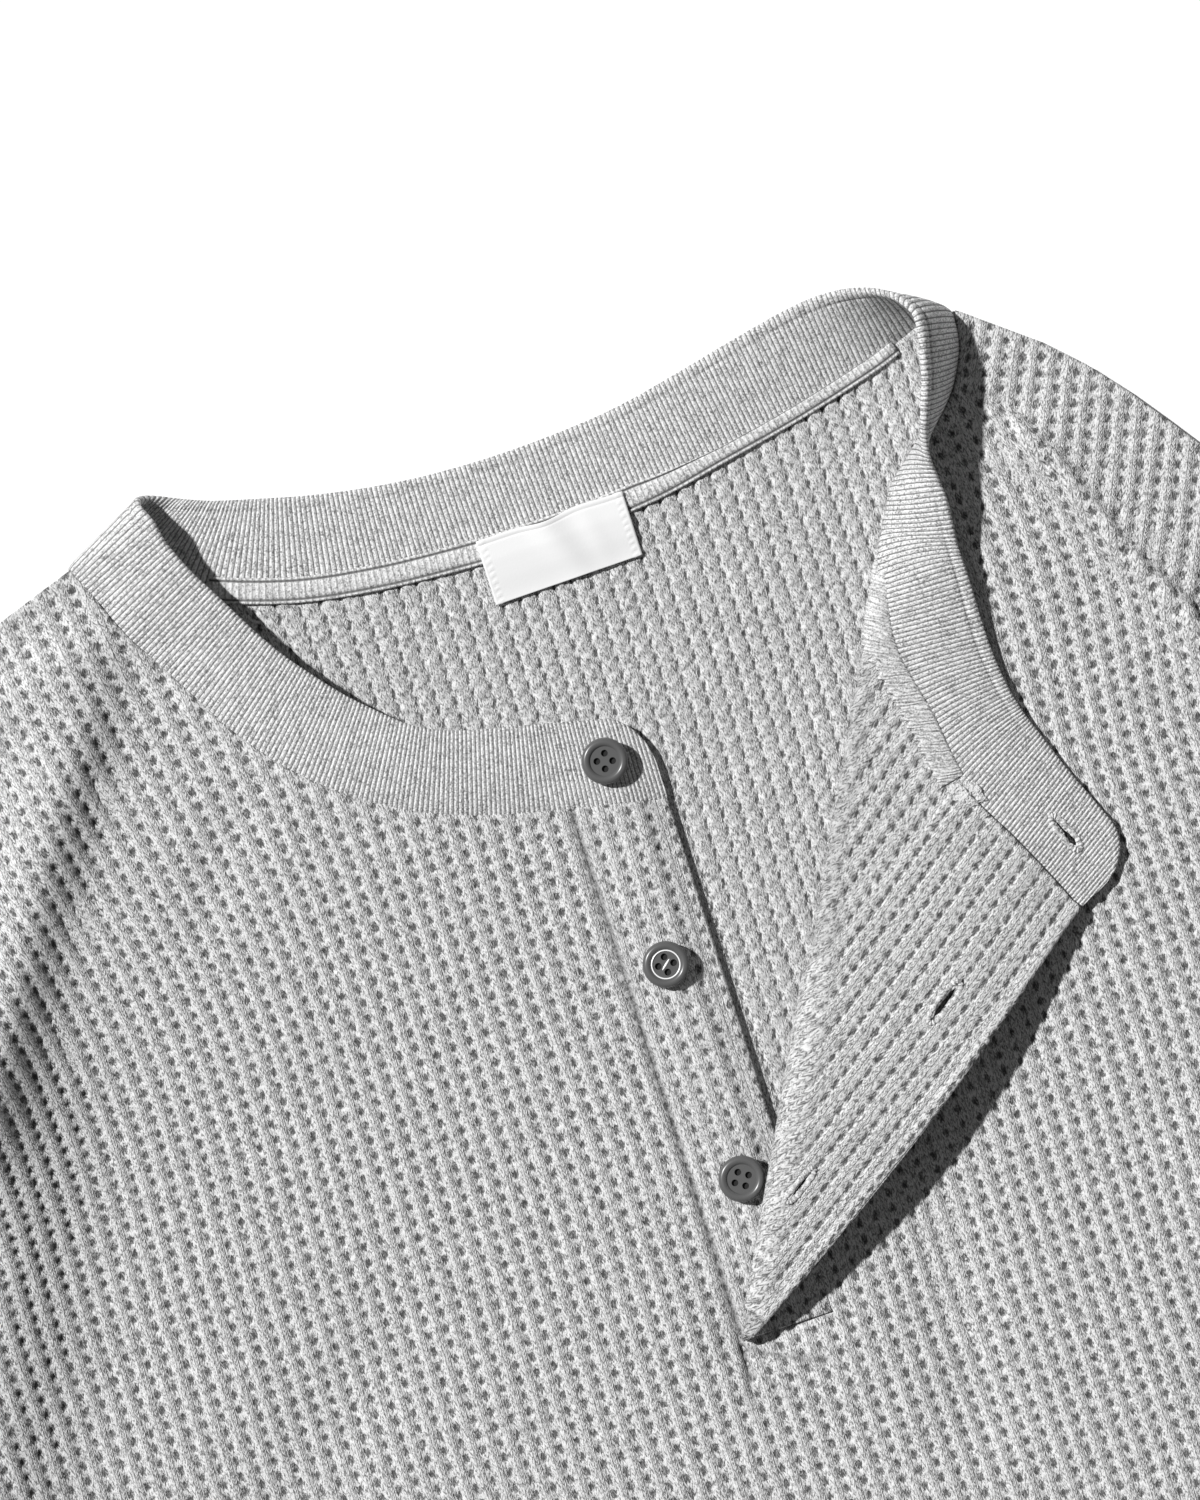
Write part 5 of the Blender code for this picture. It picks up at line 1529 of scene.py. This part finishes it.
def sleeveTop(k, v):
    crown = np.sin(math.pi * v) ** 0.7
    fullness = 0.55 + 0.45 * math.sin(math.pi * min(k * 1.1, 1.0))
    height = 2 * sleeveShape["edge"] + sleeveShape["puff"] * crown * fullness
    for place, v0, v1, half, rise in sleeveCreases:
        share = (v - v0) / (v1 - v0)
        slanted = place + 0.05 * (v - 0.5)
        ends = ease(share * 3.0 + 0.2) * ease((1.0 - share) * 3.0 + 0.2)
        height = height + rise * np.exp(-(((k - slanted) / half) ** 2) * 1.6) * ends * crown * 0.8
    return height


def makeSleeve(name):
    spec = sleeves[name]
    count = sleeveShape["across"]
    rows = spacedRows(spec["armhole"], [0, 1], 1.0)
    distances = lengthAlong(rows)
    armhole = smoothRows(rows, distances, np.linspace(0, distances[-1], count + 1))
    cuffTop, cuffUnder = (np.array(p) for p in spec["cuff"])
    cuff = cuffTop + (cuffUnder - cuffTop) * np.linspace(0, 1, count + 1)[:, None]
    outward = unitRows((cuff[0] + cuff[-1]) / 2 - (armhole[0] + armhole[-1]) / 2)
    upSide = unitRows(cuffTop - cuffUnder)
    v = np.linspace(0.0, 1.0, count + 1)
    bendTurns = np.radians([-60.0, -30.0, 0.0, 30.0, 60.0])
    points, uv = [], []
    for layer, inset in ((0, 0.0), (1, layout["waffle"])):
        for k in np.linspace(0.0, 1.0, sleeveShape["sections"] + 1):
            bow = upSide * sleeveShape["bow"] * math.sin(math.pi * k) * (1.0 - v)[:, None]
            start = armhole + outward * 0.75
            row = start + (cuff - start) * k + bow
            width = np.linalg.norm(row[-1] - row[0])
            across = (row[-1] - row[0]) / width
            radius, edge = sleeveShape["edge"] - inset, sleeveShape["edge"]
            flat = np.concatenate([[row[0] + across * edge], row[1:-1], [row[-1] - across * edge]])
            low = np.column_stack([flat, np.full(len(flat), inset)])
            high = np.column_stack([flat, sleeveTop(k, v) - inset])
            bends = []
            for end, sign in ((flat[-1], 1.0), (flat[0], -1.0)):
                bend = end + across * (radius * np.cos(bendTurns) * sign)[:, None]
                bend = np.column_stack([bend, edge + radius * np.sin(bendTurns)])
                bends.append(bend if sign > 0 else bend[::-1])
            section = np.concatenate([low, bends[0], high[::-1], bends[1]])
            points.append(section)
            girth = lengthAlong(section) / knit["across"]
            along = k * 600.0 / knit["up"]
            uv += [(g, along) for g in girth]
    ring = len(points[0])
    sections = sleeveShape["sections"] + 1
    shift = sections * ring
    polygons = []
    for i in range(sections - 1):
        for k in range(ring):
            n = (k + 1) % ring
            a, b = i * ring, (i + 1) * ring
            polygons.append((a + k, a + n, b + n, b + k))
            polygons.append((shift + b + k, shift + b + n, shift + a + n, shift + a + k))
    last = (sections - 1) * ring
    for k in range(ring):
        n = (k + 1) % ring
        polygons.append((k, shift + k, shift + n, n))
        polygons.append((last + n, shift + last + n, shift + last + k, last + k))
    if outward[0] > 0:
        polygons = [p[::-1] for p in polygons]
    points = np.concatenate(points)
    obj = finishMesh(name, points, polygons, waffleCloth, np.array(uv), {"bare": np.ones(len(points))})
    print(name, len(polygons), "faces")
    return obj


sleevePieces = {name: makeSleeve(name) for name in sleeves}

# neck tape and label
tape = {
    "width": 7.0,
    "thick": 0.8,
    "shift": 1.1,
    "from": -87.0,
    "to": 107.0,
    # its section, as places across and heights
    "profile": [(-1.0, 0.0), (-1.0, 0.7), (-0.93, 1.1), (-0.82, 1.1), (-0.75, 0.45), (-0.68, 0.45),
                (-0.60, 1.1), (-0.40, 1.35), (0.0, 1.45), (0.40, 1.35), (0.60, 1.1), (0.68, 0.45),
                (0.75, 0.45), (0.82, 1.1), (0.93, 1.1), (1.0, 0.7), (1.0, 0.0)],
}
label = {"left": -15.0, "right": 26.2, "low": 49.6, "high": 66.4, "thick": 0.8}


def makeTape():
    rows = np.asarray(backCollar)[:, :2]
    xs = np.linspace(tape["from"], tape["to"], 130)
    line = np.column_stack([xs, smoothRows(rows, rows[:, 0], xs)[:, 1]])
    level = layout["waffle"] + layout["gap"]
    points, uv = [], []
    for k, p in enumerate(line):
        out = planNormal(line, k)
        for place, height in tape["profile"]:
            half = tape["width"] / 2
            if place > 0:
                half *= float(np.interp(p[0], [30.0, 55.0], [1.0, 0.2]))
            points.append((*(p + out * (place * half + tape["shift"])), level + tape["thick"] * height))
            uv.append((k * 1.5 / 1.7, place * 3.5))
    polygons = tubeFaces(len(line), len(tape["profile"]), turned=True)
    return finishMesh("neckTape", points, polygons, tapeCloth, np.array(uv)), lengthAlong(line)[-1]


def makeLabel():
    level = layout["waffle"] + layout["gap"] * 2 + tape["thick"]
    bpy.ops.mesh.primitive_plane_add(size=1.0)
    obj = bpy.context.object
    obj.name = obj.data.name = "neckLabel"
    bpy.ops.object.mode_set(mode="EDIT")
    bpy.ops.mesh.subdivide(number_cuts=72)
    bpy.ops.object.mode_set(mode="OBJECT")
    width, deep = label["right"] - label["left"], label["high"] - label["low"]
    for vertex in obj.data.vertices:
        sx, sy = vertex.co.x + 0.5, vertex.co.y + 0.5
        # the top edge buckles back in the middle
        wave = 0.35 * hump(sx - 0.70, 0.12) - 0.9 * hump(sx - 0.46, 0.13)
        x = label["left"] + width * sx
        y = label["low"] - 0.5 + (deep + 0.8) * sy + wave * sy**2 + 0.9 * (sx - 0.5)
        swell = 1.15 * hump(sx - 0.44 - 0.16 * (1.0 - sy), 0.10) * (0.35 + 0.65 * sy)
        swell += 0.5 * hump(sx - 0.80 + 0.1 * sy, 0.07) * sy * (1.0 - sy) * 2.0
        below = (1.0 - sy) * deep
        hem = 0.10 * hump(below - 0.5, 0.35) - 0.12 * hump(below - 1.3, 0.25)
        end = min(sx, 1.0 - sx) * width
        stitch = 0.16 * hump(end - 1.6, 0.30) * (1.0 if math.sin(sy * deep * 3.6) > 0.0 else -0.6)
        lower = (0.8 + 0.15 * sx) * ease((0.5 - sy) / 0.5) - 0.3 * ease((sy - 0.4) / 0.3)
        vertex.co = placeOf((x, y, level + swell + hem + stitch + 0.12 - lower))
    obj.data.materials.append(labelSatin)
    wall = obj.modifiers.new("wall", "SOLIDIFY")
    wall.thickness = label["thick"] * 0.0006
    wall.offset = 1.0
    bpy.ops.object.modifier_apply(modifier="wall")
    obj.data.shade_smooth()
    bpy.ops.object.select_all(action="DESELECT")
    return obj


neckTape, tapeLength = makeTape()
neckLabel = makeLabel()

# buttons
button = {"radius": 6.2, "thick": 4.0, "rimWidth": 1.22, "holeRadius": 0.92, "holeOut": 2.08,
          "turns": {"button_1": -15.0, "button_2": -4.0, "button_3": 12.0}}


# joins the newest primitive into the piece
def addTo(obj, material):
    extra = bpy.context.object
    bpy.ops.object.transform_apply(location=True, rotation=True, scale=True)
    extra.data.materials.append(material)
    obj.select_set(True)
    bpy.context.view_layer.objects.active = obj
    bpy.ops.object.join()
    bpy.ops.object.select_all(action="DESELECT")


def makeButton(name, node):
    low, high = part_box(node)
    centre = Vector([(a + b) / 2 for a, b in zip(low, high)])
    mm = 0.001
    radius, thick = button["radius"] * mm, button["thick"] * mm
    tiltBy = 0.0
    if node == "button_1":
        tiltBy = math.asin(min(1.0, max(0.0, high[2] - low[2] - thick * 0.98) / (2 * radius)))
    bpy.ops.mesh.primitive_cylinder_add(vertices=72, radius=radius * 0.97, depth=thick * 0.66,
                                        location=(0, 0, -thick * 0.12))
    obj = bpy.context.object
    obj.name = obj.data.name = name
    bpy.ops.object.transform_apply(location=True)
    bevel = obj.modifiers.new("softEdge", "BEVEL")
    bevel.width = 0.9 * mm
    bevel.segments = 5
    bevel.limit_method = "ANGLE"
    bpy.ops.object.modifier_apply(modifier="softEdge")
    bpy.ops.object.select_all(action="DESELECT")
    rim = button["rimWidth"] * mm
    bpy.ops.mesh.primitive_torus_add(major_segments=72, minor_segments=18, major_radius=radius - rim,
                                     minor_radius=rim, location=(0, 0, 0.28 * mm))
    bpy.ops.object.transform_apply(location=True)
    combine(obj, bpy.context.object, "UNION", "rim")
    for k in range(4):
        turn = math.radians(button["turns"][node]) + math.pi / 2 * k
        place = Vector((math.cos(turn), math.sin(turn), 0)) * button["holeOut"] * mm
        bpy.ops.mesh.primitive_cylinder_add(vertices=20, radius=button["holeRadius"] * mm,
                                            depth=8 * mm, location=place)
        bpy.ops.object.transform_apply(location=True)
        combine(obj, bpy.context.object, "DIFFERENCE", "needleHole")
    obj.data.materials.append(buttonResin)
    # a near-black disc under the holes: the thread down there, and painted shade in the holes
    bpy.ops.mesh.primitive_cylinder_add(vertices=24, radius=3.2 * mm, depth=0.5 * mm,
                                        location=(0, 0, -0.2 * mm))
    addTo(obj, threadAndHoleShade)
    if node == "button_2":
        # a thin near-white ring round the well: a painted highlight
        bpy.ops.mesh.primitive_torus_add(major_segments=72, minor_segments=8, major_radius=3.76 * mm,
                                         minor_radius=0.2 * mm, location=(0, 0, 0.98 * mm))
        addTo(obj, paintedHighlight)
        # one light stitch between the pairs of holes, near-white: a painted highlight on the thread
        turn = math.radians(button["turns"][node] + 45.0)
        bpy.ops.mesh.primitive_uv_sphere_add(segments=16, ring_count=8, radius=1.0,
                                             location=(0, 0, 0.86 * mm), rotation=(0, 0, turn))
        bpy.context.object.scale = (1.8 * mm, 0.30 * mm, 0.22 * mm)
        addTo(obj, paintedHighlight)
    c, s = math.cos(tiltBy), math.sin(tiltBy)
    for vertex in obj.data.vertices:
        x, y, z = vertex.co
        vertex.co = centre + Vector((x, c * y - s * z, s * y + c * z))
    obj.select_set(True)
    bpy.ops.object.shade_smooth_by_angle(angle=math.radians(35.0))
    bpy.ops.object.select_all(action="DESELECT")
    return obj


buttons = [makeButton(f"frontButton{k}", f"button_{k}") for k in (1, 2, 3)]
print("buttons done", round(time.time() - startTime, 1), "s")

# each piece goes under the root, and the CAD part it stands for is hidden
for piece, node, slot in [(front, "front", "waffle"), (back, "back", "waffle"),
                          (buttonStrip, "placket_button", "waffle"),
                          (buttonholeStrip, "placket_buttonhole", "waffle"),
                          (placketFacing, "placket_buttonhole", "waffle"), (collarBand, "collar", "rib"),
                          (seamLoops, "collar", "rib"), (collarRing, "collar", "rib"),
                          *[(obj, "placket_buttonhole", "waffle") for obj in (*holeRings, facingCorner)],
                          (neckTape, "neck_tape", "tape"), (neckLabel, "label", "label"),
                          *[(obj, f"button_{k + 1}", "button") for k, obj in enumerate(buttons)],
                          *[(obj, sleeves[name]["node"], "waffle") for name, obj in sleevePieces.items()]]:
    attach(piece, "root")
    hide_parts(node)

planArea(frontLoop)
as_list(buttons[:1])
planArea(backLoop)
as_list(buttons[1:])
planArea(facingPlan)

# floor, light and camera
bpy.ops.mesh.primitive_plane_add(size=12.0, location=(0, 0, -0.0002))
floor = bpy.context.object
floor.name = "floor"
floor.data.materials.append(floorPaint)

studio = {"sun": 4.3, "sunSize": 2.5, "fill": 0.12, "towards": (0.756, -0.653), "height": 48.0, "far": 1.5}
world = bpy.data.worlds.new("studio") if bpy.context.scene.world is None else bpy.context.scene.world
bpy.context.scene.world = world
world.use_nodes = True
world.node_tree.nodes["Background"].inputs["Color"].default_value = (1.0, 1.0, 1.0, 1.0)
world.node_tree.nodes["Background"].inputs["Strength"].default_value = studio["fill"]
sunData = bpy.data.lights.new("key", "SUN")
sunData.energy = studio["sun"]
sunData.angle = math.radians(studio["sunSize"])
sun = bpy.data.objects.new("key", sunData)
bpy.context.collection.objects.link(sun)
rise = math.radians(studio["height"])
towards = Vector((*(k * math.cos(rise) for k in studio["towards"]), -math.sin(rise)))
sun.rotation_euler = towards.to_track_quat("-Z", "Y").to_euler()

cameraData = bpy.data.cameras.new("camera")
cameraData.sensor_width = 36.0
cameraData.lens = 36.0 * studio["far"] / 0.400
camera = bpy.data.objects.new("camera", cameraData)
bpy.context.collection.objects.link(camera)
camera.location = (*placeOf((-0.5, 3.5, 0.0))[:2], studio["far"])
camera.rotation_euler = (0.0, 0.0, -math.radians(17.85))
bpy.context.scene.camera = camera
bpy.context.scene.view_settings.view_transform = "Standard"

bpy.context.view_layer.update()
print("done", round(time.time() - startTime, 1), "s")
